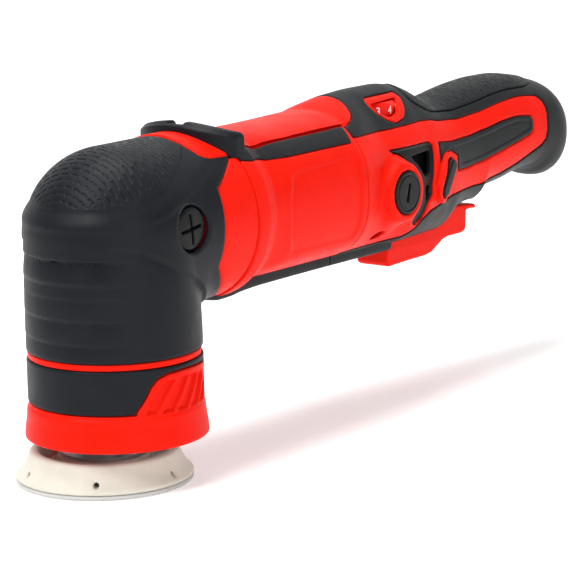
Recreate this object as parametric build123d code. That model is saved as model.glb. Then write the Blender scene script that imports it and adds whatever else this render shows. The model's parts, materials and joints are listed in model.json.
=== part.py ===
"""Three inch dual action polisher, built as the real tool is assembled.

Origin: on the output spindle's axis, on the face of the backing pad.
+Z points up through the head and +X runs from the head to the tail of the grip.
"""
from build123d import *
from math import atan2, cos, hypot, pi, radians, sin, tan
import os

# ---------------------------------------------------------------- driving dimensions (mm)
PAD_R = 38.0                  # three inch backing pad
PAD_H = 11.8
HOOK_H = 1.6
ORBIT_OFFSET = 6.0            # half of the 12 mm orbit
ORBIT_ANGLE = 127.4           # degrees, where the eccentric stands at rest
AXIS_Z = 107.5                # height of the motor shaft
HEAD_R = 38.0                 # outside of the rubber boot
BOOT_T = 2.5
HOUSING_T = 3.0
HEAD_END_X = 54.0             # joint between head and motor housing
MOTOR_END_X = 138.0           # joint between motor housing and handle
MOTOR_R = 35.3
TAIL_X = 352.0
WALL = 3.2                    # handle shell with its soft skin
SKIN = 1.4                    # soft skin alone
FIT = 0.05                    # radial running clearance
GAP = 0.3                     # between bodies that pass each other
TOUCH = 0.15                  # between curved pieces of one body
SPINE_T = 1.8                 # rubber rail under the motor
SPINE_HALF_W = 13.0

# motor and bearings, front and rear x of each
CORE_X = (84.0, 124.0)
FIELD_X = (82.0, 126.0)
COMMUTATOR_X = (158.0, 177.0)
FRONT_BEARING_X = (30.0, 38.0)
REAR_BEARING_X = (180.4, 187.4)
REAR_WALL_X = (180.2, 185.8)
CORE_R = 19.3
FIELD_R = 32.5
POLE_R = 20.0
FAN_R = 30.0
FRONT_BEARING_R = 11.0
REAR_BEARING_R = 9.5

# bevel gears
MODULE = 1.5
PINION_TEETH = 9
GEAR_TEETH = 27
GEAR_FACE_W = 7.0

# shafts
SHAFT_R = 4.0
SPINDLE_R = 6.0
PAD_SPINDLE_R = 5.0
PAD_BOLT_R = 3.0
BOLT_HEAD = (0.6, 3.8)         # bottom and top of the head, inside the pad's hub

# trigger
TRIGGER_PIVOT = (197.0, 80.2)
TRIGGER_HALF_W = 9.6
PIVOT_PIN_R = 1.7
PIVOT_PIN_HALF = 11.6           # half of the pin's length

# brushes
BRUSH_X = 167.0
BRUSH_Z = 104.0
CAP_FACE_Y = 38.0

# speed dial
DIAL_X = 184.0
DIAL_R = 15.5
DIAL_Z = 133.0
DIAL_H = 8.0

# lock button
BUTTON_X = 217.0
BUTTON_Z = 104.0
BUTTON_TILT = -20.0
BUTTON_SIZE = (20.0, 7.6)
BUTTON_GUARD = 2.8

# Handle stations: x, top z, bottom z, half width, waist z, roundness of the upper half
STATIONS = [
    (138.0, 143.0, 74.0, 36.0, 107.5, 2.15),
    (152.0, 147.0, 74.0, 36.0, 106.5, 1.90),
    (168.0, 149.0, 75.0, 35.0, 105.0, 1.70),
    (184.0, 149.0, 74.4, 33.0, 105.0, 1.65),
    (200.0, 148.5, 74.0, 30.5, 105.5, 1.70),
    (214.0, 144.5, 74.0, 27.5, 106.5, 1.90),
    (227.0, 139.0, 75.0, 24.5, 108.5, 2.15),
    (240.0, 138.4, 80.5, 22.5, 110.5, 2.25),
    (254.0, 140.6, 83.0, 21.5, 112.0, 2.30),
    (268.0, 143.0, 85.0, 21.5, 113.5, 2.30),
    (282.0, 143.0, 88.0, 21.8, 114.5, 2.30),
    (296.0, 142.0, 91.0, 22.0, 115.0, 2.30),
    (310.0, 139.8, 93.0, 22.0, 115.0, 2.30),
    (322.0, 137.4, 89.0, 21.8, 113.0, 2.25),
    (334.0, 134.0, 86.5, 20.6, 111.0, 2.20),
    (344.0, 128.0, 90.0, 17.0, 110.0, 2.15),
    (350.0, 119.5, 98.5, 11.0, 109.5, 2.10),
    (352.0, 115.5, 102.5, 7.0, 109.0, 2.00),
]
BELLY_ROUND = 2.2             # roundness of the lower half
BELLY_END_X = 262.0           # end of the switch housing under the grip
SECTION_POINTS = 24

PAD_X = ORBIT_OFFSET * cos(radians(ORBIT_ANGLE))
PAD_Y = ORBIT_OFFSET * sin(radians(ORBIT_ANGLE))


# ---------------------------------------------------------------- small helpers
def upright(radius, low, high, at=(0.0, 0.0)):
    """Cylinder about a vertical axis, from height low to high."""
    return Pos(at[0], at[1], (low + high) / 2) * Cylinder(radius, high - low)


def lengthways(radius, front, rear, height=AXIS_Z):
    """Cylinder about an axis along X, on the motor's centre line."""
    return Pos((front + rear) / 2, 0, height) * Rot(0, 90, 0) * Cylinder(radius, rear - front)


def crosswise(radius, x, z, low, high):
    """Cylinder about an axis along Y, from y low to high."""
    return Pos(x, (low + high) / 2, z) * Rot(90, 0, 0) * Cylinder(radius, high - low)


def block(low, high):
    """Box between two corners."""
    size = [b - a for a, b in zip(low, high)]
    centre = [(a + b) / 2 for a, b in zip(low, high)]
    return Pos(*centre) * Box(*size)


def turned(profile):
    """Solid of revolution about Z from (radius, height) points."""
    outline = Polyline(*[(r, 0, z) for r, z in profile], close=True)
    return revolve(make_face(outline), Axis.Z)


def turned_lengthways(profile):
    """Solid of revolution about the motor's axis from (radius, x) points."""
    return Pos(0, 0, AXIS_Z) * Rot(0, 90, 0) * turned(profile)


def side_prism(points, low=-60.0, high=60.0):
    """Prism whose side view is the closed outline, from y low to high."""
    face = make_face(Polyline(*[(x, 0, z) for x, z in points], close=True))
    prism = extrude(face, amount=high - low, dir=(0, 1, 0))
    return Pos(0, low, 0) * prism


def mirrored(solid):
    """The same piece on the other side of the tool's centre plane."""
    return mirror(solid, about=Plane.XZ)


def both_sides(solid):
    return Compound(children=[solid, mirrored(solid)])


def polar(radius, angle):
    return (radius * cos(radians(angle)), radius * sin(radians(angle)))


# ---------------------------------------------------------------- handle volume
def station_face(x, top, bottom, half_w, waist, roundness, inset):
    """One cross section of the handle: two half superellipses that meet at the waist."""
    points = []
    for i in range(SECTION_POINTS):
        angle = 2 * pi * (i + 0.5) / SECTION_POINTS
        upper = sin(angle) > 0
        power = roundness if upper else BELLY_ROUND
        height = (top - waist if upper else waist - bottom) - inset
        y = (half_w - inset) * abs(cos(angle)) ** (2 / power)
        z = height * abs(sin(angle)) ** (2 / power)
        points.append((x, y if cos(angle) > 0 else -y, waist + (z if upper else -z)))
    return make_face(Spline(*points, periodic=True))


def handle_volume(inset, end_x=TAIL_X):
    """The handle's outside, or the same shape drawn in by inset all round."""
    return loft([station_face(*s, inset) for s in STATIONS if s[0] <= end_x])


OUTER = handle_volume(0.0)
HOLLOW = handle_volume(WALL, end_x=344.0)
SKIN_ZONE = OUTER - handle_volume(SKIN, end_x=350.0)
WALL_ZONE = OUTER - HOLLOW

# Outlines in side view
RED_FRAME = [(138, 132), (190, 131.6), (202, 131.8), (212, 131), (221, 129.5), (237, 128.2), (256, 129.5),
             (274, 131.8), (289, 133), (299, 132.5), (307, 131.2), (311.5, 128), (313, 122), (312.8, 114),
             (311, 109), (307, 106), (289, 99), (276, 95.6), (257, 93.6), (225, 93), (208, 90.5), (200, 88.8),
             (195, 84), (188, 80), (178, 78), (138, 78)]
INLAY = [(210.7, 120.6), (225, 119.2), (243, 119.4), (261, 121.3), (274, 123), (286, 123.8), (299, 122.5),
         (299, 114), (286, 111), (269, 108), (256, 105.8), (240, 104.6), (224, 105.5), (222, 114), (217, 118),
         (212, 117)]
VENT_INSERT = [(165.5, 122.5), (202, 122), (205, 120), (204.4, 116), (202, 108), (200.2, 97.6), (196.5, 93.5),
               (193.5, 88.5), (188.5, 84.2), (181, 84.6), (178, 92), (183, 103), (178, 114), (170, 118.6)]
VENT_WINDOWS = [[(185, 117.6), (202.6, 118), (203, 116.5), (200.4, 107.8), (195, 106.6), (190, 112.4)],
                [(195.5, 101.8), (199, 102), (199, 97), (196.4, 95)]]
TRIGGER_POCKET = [(188.5, 60), (188.5, 87), (240, 95), (268, 91), (268, 60)]


# ---------------------------------------------------------------- pad
def backing_plate():
    """Urethane pad with a flared rim, a flat top ring and six side vents."""
    flare = [(PAD_R, HOOK_H), (PAD_R, 2.8), (36.2, 4.2), (34.2, 6.5), (32.8, 9.2), (31.7, PAD_H)]
    hub = [(27.0, PAD_H), (25.5, 7.0), (20.0, 7.0), (20.0, PAD_H - 0.4), (8.2, PAD_H - 0.4), (8.2, HOOK_H)]
    pad = turned(flare + hub)
    for i in range(6):
        vent = Rot(0, 0, 35 + 60 * i) * Pos(32, 0, 5.2) * Rot(0, 90, 0) * Cylinder(1.4, 14)
        pad = pad - vent
    return Pos(PAD_X, PAD_Y, 0) * pad


def hook_layer():
    """Hook sheet glued to the face of the pad, with a centring hole."""
    sheet = upright(PAD_R, 0, HOOK_H) - upright(5.3, -1, HOOK_H + 1)
    return Pos(PAD_X, PAD_Y, 0) * sheet


def hub_plate():
    """Steel plate moulded into the pad, clamped under the spindle's flange."""
    plate = upright(19.0, PAD_H - 0.4, 13.0) + upright(8.0, BOLT_HEAD[1], 13.0)
    plate = plate - upright(PAD_BOLT_R, 0, 14)
    return Pos(PAD_X, PAD_Y, 0) * plate


def pad_bolt():
    """Hexagon bolt that holds the pad to its spindle, from the pad's face."""
    low, high = BOLT_HEAD
    head = extrude(RegularPolygon(5.0, 6), amount=high - low)
    recess = Pos(0, 0, -0.1) * extrude(RegularPolygon(2.6, 6), amount=2.0)
    bolt = Pos(0, 0, low) * (head - recess) + upright(PAD_BOLT_R, high - 1, 24)
    return Pos(PAD_X, PAD_Y, 0) * bolt


def pad_spindle():
    """Stub axle with a flange that carries the pad in the eccentric's bearings."""
    axle = upright(10.0, 13.0, 14.6) + upright(PAD_SPINDLE_R, 13.0, 30.1)
    axle = axle - upright(PAD_BOLT_R, 12, 24)
    return Pos(PAD_X, PAD_Y, 0) * axle


def bearing(inner, outer, low, high):
    """Deep groove bearing as one ring with the groove between its races."""
    middle = (inner + outer) / 2
    half = (outer - inner) / 7
    ring = upright(outer, low, high) - upright(inner, low - 1, high + 1)
    for face, away in ((low, -1), (high, 1)):
        groove = upright(middle + half, face - 0.6, face + 0.6) - upright(middle - half, face - 1, face + 1)
        ring = ring - groove
    return ring


def pad_bearings():
    """Two bearings in the eccentric that the pad's stub axle turns in."""
    rings = [bearing(PAD_SPINDLE_R + FIT, 11.0, low, low + 7.0) for low in (15.6, 23.2)]
    return Compound(children=[Pos(PAD_X, PAD_Y, 0) * ring for ring in rings])


def spindle_bearings():
    """Two bearings in the gear casting that the output spindle turns in."""
    return Compound(children=[bearing(SPINDLE_R + FIT, 12.9, 60.1, 70.0),
                              bearing(SPINDLE_R + FIT, 12.9, 80.0, 88.4)])


# ---------------------------------------------------------------- eccentric and gears
def eccentric():
    """Crank body on the output spindle: pad bearing housing and counterweight."""
    housing = Pos(PAD_X, PAD_Y, 0) * (upright(14.0, 15.4, 33) - upright(11.0, 14, 30.4))
    heavy = ORBIT_ANGLE + 180
    weight = upright(31.0, 22, 33) - upright(20.0, 20, 40)
    wedge = Rot(0, 0, heavy) * block((0, -40, 10), (40, 40, 40))
    arm = upright(20.5, 28, 36)
    body = arm + (weight & wedge) + housing
    hollow = Pos(PAD_X, PAD_Y, 0) * upright(11.0, 14, 30.4)
    body = body - hollow - upright(SPINDLE_R, 31.2, 45)
    return body + upright(10.0, 36, 46) - upright(SPINDLE_R, 31.2, 50)


def output_spindle():
    """Vertical shaft between the big bevel gear and the eccentric."""
    return upright(SPINDLE_R, 31.2, 97.0)


def bevel_tooth(half_angle, thickness_share, addendum, dedendum, taper):
    """One straight tooth at azimuth 0, tapering to the gears' common apex at the origin.

    The pitch cone opens downwards from the apex about Z, at half_angle to -Z.
    """
    cone = MODULE * hypot(PINION_TEETH, GEAR_TEETH) / 2
    thick = pi * MODULE * thickness_share
    along = Vector(sin(half_angle), 0, -cos(half_angle))
    outward = Vector(cos(half_angle), 0, sin(half_angle))
    across = Vector(0, 1, 0)
    tip = thick / 2 - addendum * tan(radians(20))
    root = thick / 2 + dedendum * taper
    profile = [(-root, -dedendum), (-thick / 2, 0), (-tip, addendum), (tip, addendum), (thick / 2, 0),
               (root, -dedendum)]
    faces = []
    for distance in (cone, cone - GEAR_FACE_W):
        scale = distance / cone
        corners = [along * distance + across * (a * scale) + outward * (b * scale) for a, b in profile]
        faces.append(make_face(Polyline(*corners, close=True)))
    return loft(faces, ruled=True)


def bevel_body(half_angle, dedendum):
    """Root cone frustum that the teeth stand on, about -Z from the apex at the origin."""
    cone = MODULE * hypot(PINION_TEETH, GEAR_TEETH) / 2
    inner = cone - GEAR_FACE_W
    sink = dedendum - 0.15

    def root_point(distance):
        scale = distance / cone
        radius = distance * sin(half_angle) - sink * scale * cos(half_angle)
        height = -distance * cos(half_angle) - sink * scale * sin(half_angle)
        return (radius, height)

    return root_point(inner), root_point(cone)


def driven_gear():
    """Crown bevel gear, teeth up, keyed to the output spindle below the motor shaft."""
    half_angle = atan2(GEAR_TEETH, PINION_TEETH)
    addendum, dedendum = 0.75 * MODULE, 1.25 * MODULE
    inner, outer = bevel_body(half_angle, dedendum)
    blank = turned([(0, inner[1]), inner, outer, (outer[0], -14.5), (11.0, -16.5), (0, -16.5)])
    tooth = bevel_tooth(half_angle, 0.42, addendum, dedendum, tan(radians(20)))
    pitch = 360 / GEAR_TEETH
    teeth = [Rot(0, 0, pitch * (i + 0.5)) * tooth for i in range(GEAR_TEETH)]
    gear = blank + teeth
    return Pos(0, 0, AXIS_Z) * gear - upright(SPINDLE_R, 80, 99)


def pinion():
    """Nine tooth bevel pinion on the front end of the motor shaft."""
    half_angle = atan2(PINION_TEETH, GEAR_TEETH)
    addendum, dedendum = 0.75 * MODULE, 1.2 * MODULE
    inner, outer = bevel_body(half_angle, dedendum)
    blank = turned([(0, inner[1]), inner, outer, (outer[0], -24.0), (0, -24.0)])
    tooth = bevel_tooth(half_angle, 0.38, addendum, dedendum, 0.0)
    pitch = 360 / PINION_TEETH
    teeth = [Rot(0, 0, pitch * i) * tooth for i in range(PINION_TEETH)]
    gear = blank + teeth
    # -Z of the blank turns to +X, and the first tooth points down into mesh
    gear = Pos(0, 0, AXIS_Z) * Rot(0, -90, 0) * Rot(0, 0, 180) * gear
    return gear - lengthways(SHAFT_R - 0.6, 10, 30)


# ---------------------------------------------------------------- armature
def armature_shaft():
    return lengthways(SHAFT_R - 0.6, 13.0, 24.0) + lengthways(SHAFT_R, 24.0, 190.0)


def armature_core():
    """Laminated core with twelve winding slots."""
    core = lengthways(CORE_R, *CORE_X) - lengthways(SHAFT_R, 80, 130)
    slot = block((80, -1.0, AXIS_Z + 11.5), (130, 1.0, AXIS_Z + 21))
    spokes = [Pos(0, 0, AXIS_Z) * Rot(30 * i, 0, 0) * Pos(0, 0, -AXIS_Z) * slot for i in range(12)]
    return core - spokes


def armature_windings():
    """End turns of the copper winding at both ends of the core."""
    ends = []
    for front, rear in ((CORE_X[0] - 6.5, CORE_X[0]), (CORE_X[1], CORE_X[1] + 7.0)):
        ring = lengthways(17.0, front, rear) - lengthways(SHAFT_R, front - 1, rear + 1)
        ends.append(ring)
    return Compound(children=ends)


def commutator():
    """Copper segments with narrow gaps, on a moulded hub."""
    drum = lengthways(12.0, *COMMUTATOR_X) - lengthways(SHAFT_R, 150, 180)
    cut = block((157, -0.25, AXIS_Z + 10.4), (173, 0.25, AXIS_Z + 13))
    return drum - [Pos(0, 0, AXIS_Z) * Rot(15 * i, 0, 0) * Pos(0, 0, -AXIS_Z) * cut for i in range(24)]


def cooling_fan():
    """Radial fan behind the gearbox: back plate, hub and eleven blades."""
    plate = lengthways(FAN_R, 52, 54) + lengthways(9.0, 44, 54)
    blade = block((44, -0.8, AXIS_Z + 8), (53, 0.8, AXIS_Z + FAN_R - 0.4))
    blades = [Pos(0, 0, AXIS_Z) * Rot(360 / 11 * i, 0, 0) * Pos(0, 0, -AXIS_Z) * blade for i in range(11)]
    return plate + blades - lengthways(SHAFT_R, 40, 60)


def shaft_bearing(outer, front, rear):
    ring = bearing(SHAFT_R + FIT, outer, front, rear)
    return Pos(0, 0, AXIS_Z) * Rot(0, 90, 0) * ring


# ---------------------------------------------------------------- head
def head_shape(radius, bottom, end_x):
    """Dome, upright barrel and the neck that runs back to the motor."""
    dome = Pos(0, 0, AXIS_Z) * Sphere(radius)
    return dome + upright(radius, bottom, AXIS_Z) + lengthways(radius, 0, end_x)


FACET = [(46, 139), (29.5, 125), (28.5, 104), (30, 89), (37, 75), (55, 68), (55, 139)]
PATCH_X = (18.0, 38.0)
PATCH_HALF_W = 23.0


def show_through():
    """Where the red head housing comes up flush with the rubber boot."""
    facet = side_prism(FACET)
    patch = block((PATCH_X[0], -PATCH_HALF_W, AXIS_Z), (PATCH_X[1], PATCH_HALF_W, 160))
    return facet + patch


PLUG_X, PLUG_Z, PLUG_R = 10.0, 110.5, 9.5


def head_housing():
    """Red housing of the head; it holds the gear casting and carries the boot."""
    skin_r = HEAD_R - BOOT_T
    shell = head_shape(skin_r, 54.8, HEAD_END_X)
    proud = head_shape(HEAD_R, 70, HEAD_END_X) - head_shape(skin_r, 60, HEAD_END_X + 1)
    shell = shell + (proud & show_through())
    shell = shell - head_shape(skin_r - HOUSING_T, 40, HEAD_END_X + 5)
    shell = shell - crosswise(PLUG_R, PLUG_X, PLUG_Z, -50, 50)
    return shell


def head_boot():
    """Rubber boot over the dome and barrel, open at the red patch and the side panels."""
    skin_r = HEAD_R - BOOT_T
    boot = head_shape(HEAD_R, 57.9, HEAD_END_X) - head_shape(skin_r, 40, HEAD_END_X + 5)
    boot = boot - show_through()
    return boot - crosswise(PLUG_R + 0.2, PLUG_X, PLUG_Z, -50, 50)


def bridge():
    """Raised rubber arch across the top of the neck, notched in the middle."""
    arch = lengthways(42.5, 39, 47) - lengthways(HEAD_R, 30, 60)
    arch = arch & block((38, -25, AXIS_Z + 20), (48, 25, 160))
    return arch - block((38, -4, AXIS_Z + 40.5), (48, 4, 160))


def side_plug():
    """Plug with a cross slot that closes the side handle's thread."""
    face_y = HEAD_R - 1.2
    plug = crosswise(PLUG_R - 0.2, PLUG_X, PLUG_Z, 30.5, face_y)
    for tilt in (8, 98):
        slot = Pos(PLUG_X, face_y, PLUG_Z) * Rot(0, tilt, 0) * Box(14, 3.0, 1.6)
        plug = plug - slot
    return plug


def gear_casting():
    """Aluminium gear housing: round chamber, spindle bore and motor bearing seat."""
    outside_r = HEAD_R - BOOT_T - HOUSING_T - TOUCH
    casting = head_shape(outside_r, 57.0, 40.0)
    chamber = Pos(0, 0, AXIS_Z) * Sphere(25.0) + upright(25.0, 88.5, AXIS_Z)
    casting = casting - chamber - upright(13.0, 60.0, 95) - upright(10.5, 50, 70)
    casting = casting - lengthways(FRONT_BEARING_R, 20, 38.1) - lengthways(8.0, 20, 45)
    return casting - crosswise(PLUG_R, PLUG_X, PLUG_Z, 30, 40) - crosswise(PLUG_R, PLUG_X, PLUG_Z, -40, -30)


COVER_Z = (88.5, 89.7)


def spacer_sleeve():
    """Sleeve that keeps the two spindle bearings apart."""
    return upright(12.9, 70.1, 79.9) - upright(10.5, 60, 90)


def bearing_cover():
    """Plate screwed over the upper spindle bearing inside the gear chamber."""
    low, high = COVER_Z
    plate = upright(17.0, low, high) - upright(9.0, 80, 95)
    return plate - [upright(1.2, low - 1, high + 1, polar(15.0, 45 + 90 * i)) for i in range(4)]


def cover_screws():
    low, high = COVER_Z
    screws = []
    for i in range(4):
        at = polar(15.0, 45 + 90 * i)
        screws.append(upright(2.0, high, high + 1.2, at) + upright(1.15, low, high, at))
    return Compound(children=screws)


# ---------------------------------------------------------------- shroud
VENT_PANEL = [(-24, 30), (-19.6, 41), (-15.5, 47), (-10, 52), (14, 52), (19.5, 47), (24, 41), (29, 30)]


def panel_prism(low, high):
    return side_prism(VENT_PANEL, low, high)


def shroud():
    """Red guard round the eccentric with a louvred vent panel on each side."""
    outside = [(39.5, 20.0), (38.9, 26.0), (37.7, 34.0), (35.9, 35.6), (35.9, 54.7)]
    inside = [(33.6, 54.7), (33.6, 36.0), (35.6, 33.0), (36.9, 26.0), (37.4, 20.0)]
    guard = turned(outside + inside)
    collar = turned([(38.2, 33.0), (37.6, 52.5), (35.8, 52.5), (35.8, 33.0)])
    guard = guard + (collar & (panel_prism(20, 50) + panel_prism(-50, -20)))
    for low, high in ((20, 50), (-50, -20)):
        for i in range(4):
            x = -9.0 + 8.0 * i
            slot = side_prism([(x - 6, 37), (x - 3.4, 37), (x + 4.0, 48), (x + 1.4, 48)], low, high)
            guard = guard - slot
    return guard


def shroud_band():
    """Soft bumper round the shroud, cut out for the vent panels."""
    band = turned([(37.7, 36.0), (37.7, 54.7), (36.05, 54.7), (36.05, 36.0)])
    return band - (side_prism(VENT_PANEL, 10, 50) + side_prism(VENT_PANEL, -50, -10))


def trim_ring():
    """Thin red line between the shroud and the boot."""
    return turned([(37.1, 54.9), (37.1, 57.7), (35.7, 57.7), (35.7, 54.9)])


def shroud_plate():
    """Web that joins the shroud to the foot of the head housing."""
    return turned([(33.4, 50.0), (33.4, 54.6), (32.3, 54.6), (32.3, 56.8), (30.4, 56.8), (30.4, 54.0),
                   (12.0, 54.0), (12.0, 50.0)])


# ---------------------------------------------------------------- motor housing
HOUSING_OUTSIDE = [(38.6, HEAD_END_X + 0.2), (38.6, 61.0), (37.4, 65.0), (36.0, 69.0), (MOTOR_R, 75.0),
                   (MOTOR_R, MOTOR_END_X)]


def motor_housing():
    """Tube round the field, necked behind the head, with a flat panel on each side."""
    inner_r = HEAD_R - BOOT_T - HOUSING_T + 0.3
    inside = [(inner_r, MOTOR_END_X), (inner_r, HEAD_END_X + 0.2)]
    panel = block((84, MOTOR_R - 0.6, 86), (134, MOTOR_R + 1, 125))
    return turned_lengthways(HOUSING_OUTSIDE + inside) - [panel, mirrored(panel)]


def neck_band(front, rear, low_r, high_r):
    return lengthways(high_r, front, rear) - lengthways(low_r, front - 1, rear + 1)


def top_panel():
    """Red cover let into the top of the housing; its tongue ends round over the handle."""
    lid = neck_band(50, 150, MOTOR_R + FIT, MOTOR_R + 1.6)
    return lid & block((76, -17, AXIS_Z), (MOTOR_END_X - 0.2, 17, 160))


def side_strip():
    """Rubber rail beside the top panel."""
    rail = neck_band(70, MOTOR_END_X, MOTOR_R + FIT, MOTOR_R + 1.5)
    return rail & block((76, 19, AXIS_Z + 21), (135, 29, AXIS_Z + 31))


def belly_spine():
    """Rubber rail under the neck and motor, lying on the housing."""
    inner = [(r + FIT, x) for r, x in HOUSING_OUTSIDE]
    outer = [(r + SPINE_T, x) for r, x in reversed(HOUSING_OUTSIDE)]
    rail = turned_lengthways(inner + outer)
    return rail & block((56, -SPINE_HALF_W, 60), (MOTOR_END_X - 0.2, SPINE_HALF_W, AXIS_Z))


def field_stator():
    """Laminated ring with two pole shoes above and below the armature."""
    ring = lengthways(FIELD_R, *FIELD_X) - lengthways(27.0, 80, 130)
    shoes = lengthways(28.0, *FIELD_X) - lengthways(POLE_R, 80, 130)
    shoes = shoes & block((80, -17.3, 60), (130, 17.3, 160))
    shoes = shoes - block((80, -40, AXIS_Z - 12), (130, 40, AXIS_Z + 12))
    return ring + shoes


def field_coils():
    """Copper coils that lie in the gaps between the pole shoes."""
    coil = lengthways(26.6, 78, 130) - lengthways(POLE_R + 0.6, 76, 132)
    coil = coil & block((78, 12, AXIS_Z - 11.6), (130, 30, AXIS_Z + 11.6))
    return both_sides(coil)


def air_baffle():
    """Ring that guides the cooling air from the motor into the fan."""
    return lengthways(FIELD_R - 0.1, 57.0, 59.5) - lengthways(22.0, 50, 62)


# ---------------------------------------------------------------- handle
SCREWS = [(147, 127), (147, 88), (206, 99), (207, 125.5), (266, 106), (302, 121)]
BOSS_R = 4.2
SCREW_R = 1.6


def half_space(side):
    return block((100, 0, 40), (400, 60, 180)) if side > 0 else block((100, -60, 40), (400, 0, 180))


def grip_skin():
    """Rubber over the hump, the top of the grip and the tail."""
    lower = block((130, -60, 40), (BELLY_END_X, 60, 105))
    skin = SKIN_ZONE - side_prism(RED_FRAME) - lower - dial_openings() - dial_room()
    return skin - trigger_pocket() - lengthways(GLAND_R, 330, 360, GLAND_Z)


def belly_skin():
    """Rubber under the switch housing, with a rail in front of the trigger and a slot for it."""
    skin = (SKIN_ZONE - side_prism(RED_FRAME)) & block((130, -60, 40), (BELLY_END_X - 0.1, 60, 105))
    rail = block((MOTOR_END_X, -12, 70.0), (188.5, 12, 90)) - OUTER
    return skin + rail - trigger_pocket()


def side_inlay(side):
    """Rubber pad let into the side of the grip."""
    low, high = (0, 60) if side > 0 else (-60, 0)
    pad = SKIN_ZONE & side_prism(INLAY, low, high)
    return pad if side > 0 else pad - button_slot(BUTTON_GUARD + 0.1, -40, -10)


def vent_grille(side):
    """Black insert with the cooling air inlets, beside the brush boss."""
    low, high = (0, 60) if side > 0 else (-60, 0)
    insert = WALL_ZONE & side_prism(VENT_INSERT, low, high)
    for window in VENT_WINDOWS:
        insert = insert - side_prism(window, low, high)
    return insert - crosswise(14.0, BRUSH_X, BRUSH_Z, low, high)


def button_slot(grow, low, high):
    """Slanted slot shape of the lock button, from y low to high."""
    length, width = BUTTON_SIZE
    shape = SlotOverall(length + 2 * grow, width + 2 * grow, rotation=90 + BUTTON_TILT)
    solid = extrude(shape, amount=high - low)
    return Pos(BUTTON_X, high, BUTTON_Z) * Rot(90, 0, 0) * solid


def brush_boss(side):
    boss = crosswise(13.4, BRUSH_X, BRUSH_Z, 26.0, 37.2)
    return boss if side > 0 else mirrored(boss)


DIAL_BEZEL = [(169, 145), (196, 145.5), (197.5, 142.5), (194, 138), (188.5, 134.6), (180, 133.4),
              (174.5, 135.2), (170, 138.8), (168.4, 142)]
DIAL_WINDOW = [(170.7, 142.7), (193.4, 143.2), (191.6, 140.4), (187.3, 137.1), (180.4, 135.7), (176.1, 136.6),
               (171.5, 139)]


def dial_openings():
    """Room for the bezels in the rubber, on both sides of the hump."""
    return side_prism(DIAL_BEZEL, 8, 40) + side_prism(DIAL_BEZEL, -40, -8)


def dial_bezels():
    """Red frames round the thumbwheel's windows, one on each side."""
    frames = SKIN_ZONE & dial_openings()
    return frames - side_prism(DIAL_WINDOW) - dial_room()


def dial_room():
    """Space that the thumbwheel turns in."""
    return upright(DIAL_R + 0.4, DIAL_Z - 0.4, DIAL_Z + DIAL_H + 0.4, (DIAL_X, 0))


def trigger_pocket():
    reach = TRIGGER_HALF_W + 0.7
    return side_prism(TRIGGER_POCKET, -reach, reach)


def handle_shell(side):
    """One half of the clam shell, with bosses, bearing wall and openings."""
    low, high = (0, 60) if side > 0 else (-60, 0)
    half = half_space(side)
    shell = (WALL_ZONE & half) - (SKIN_ZONE - side_prism(RED_FRAME))
    shell = shell - (SKIN_ZONE & side_prism(INLAY, low, high)) - side_prism(VENT_INSERT, low, high)
    shell = shell + brush_boss(side) + bearing_wall(low, high)
    shell = shell + pivot_lug(side)
    for x, z in SCREWS:
        shell = shell + (crosswise(BOSS_R, x, z, low, high) & HOLLOW)
        if side > 0:
            shell = shell - crosswise(SCREW_R + 0.1, x, z, -1, 40) - crosswise(3.2, x, z, 12, 45)
        else:
            shell = shell - crosswise(SCREW_R, x, z, -9, 1)
    shell = shell - lengthways(REAR_BEARING_R + 0.1, 170, 200) - brush_bore(side) - trigger_pocket()
    shell = shell - side_prism(DIAL_WINDOW, low, high) - dial_room()
    shell = shell - crosswise(PIVOT_PIN_R, *TRIGGER_PIVOT, -PIVOT_PIN_HALF, PIVOT_PIN_HALF)
    if side < 0:
        guard = button_slot(BUTTON_GUARD, -29.5, -20.0) - HOLLOW
        shell = shell + guard - button_slot(GAP, -40, -10)
    return shell - lengthways(GLAND_R, 330, 360, GLAND_Z)


def bearing_wall(low, high):
    """Wall across the handle that holds the motor's rear bearing."""
    front, rear = REAR_WALL_X
    return HOLLOW & block((front, low, 84), (rear, high, 126))


def pivot_lug(side):
    """Lug beside the trigger that holds the end of its pivot pin."""
    x, z = TRIGGER_PIVOT
    lug = crosswise(4.4, x, z + 1.2, TRIGGER_HALF_W + 0.8, 14.0) & HOLLOW
    return lug if side > 0 else mirrored(lug)


def brush_bore(side):
    bore = crosswise(10.25, BRUSH_X, BRUSH_Z, 31.5, 40) + crosswise(8.6, BRUSH_X, BRUSH_Z, 20, 35)
    return bore if side > 0 else mirrored(bore)


def brush_cap(side):
    """Slotted screw cap over the carbon brush."""
    cap = crosswise(10.1, BRUSH_X, BRUSH_Z, 33.0, CAP_FACE_Y)
    slot = Pos(BRUSH_X, CAP_FACE_Y, BRUSH_Z) * Rot(0, -12, 0) * Box(1.8, 3.2, 9)
    cap = cap - slot
    return cap if side > 0 else mirrored(cap)


def brush_holder():
    tube = block((BRUSH_X - 5.4, 14.5, BRUSH_Z - 5.9), (BRUSH_X + 5.4, 32.8, BRUSH_Z + 5.9))
    tube = tube - block((BRUSH_X - 4.1, 10, BRUSH_Z - 4.6), (BRUSH_X + 4.1, 40, BRUSH_Z + 4.6))
    return tube


def carbon_brush():
    brush = block((BRUSH_X - 4.0, 8, BRUSH_Z - 4.5), (BRUSH_X + 4.0, 26, BRUSH_Z + 4.5))
    return brush - lengthways(12.0 + GAP, 150, 180)


def brush_spring():
    """Coil that presses the brush on the commutator, as three closed turns."""
    turns = []
    for i in range(3):
        ring = Pos(BRUSH_X, 27.4 + 2.2 * i, BRUSH_Z) * Rot(90, 0, 0) * Torus(2.8, 0.6)
        turns.append(ring)
    return turns


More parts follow.
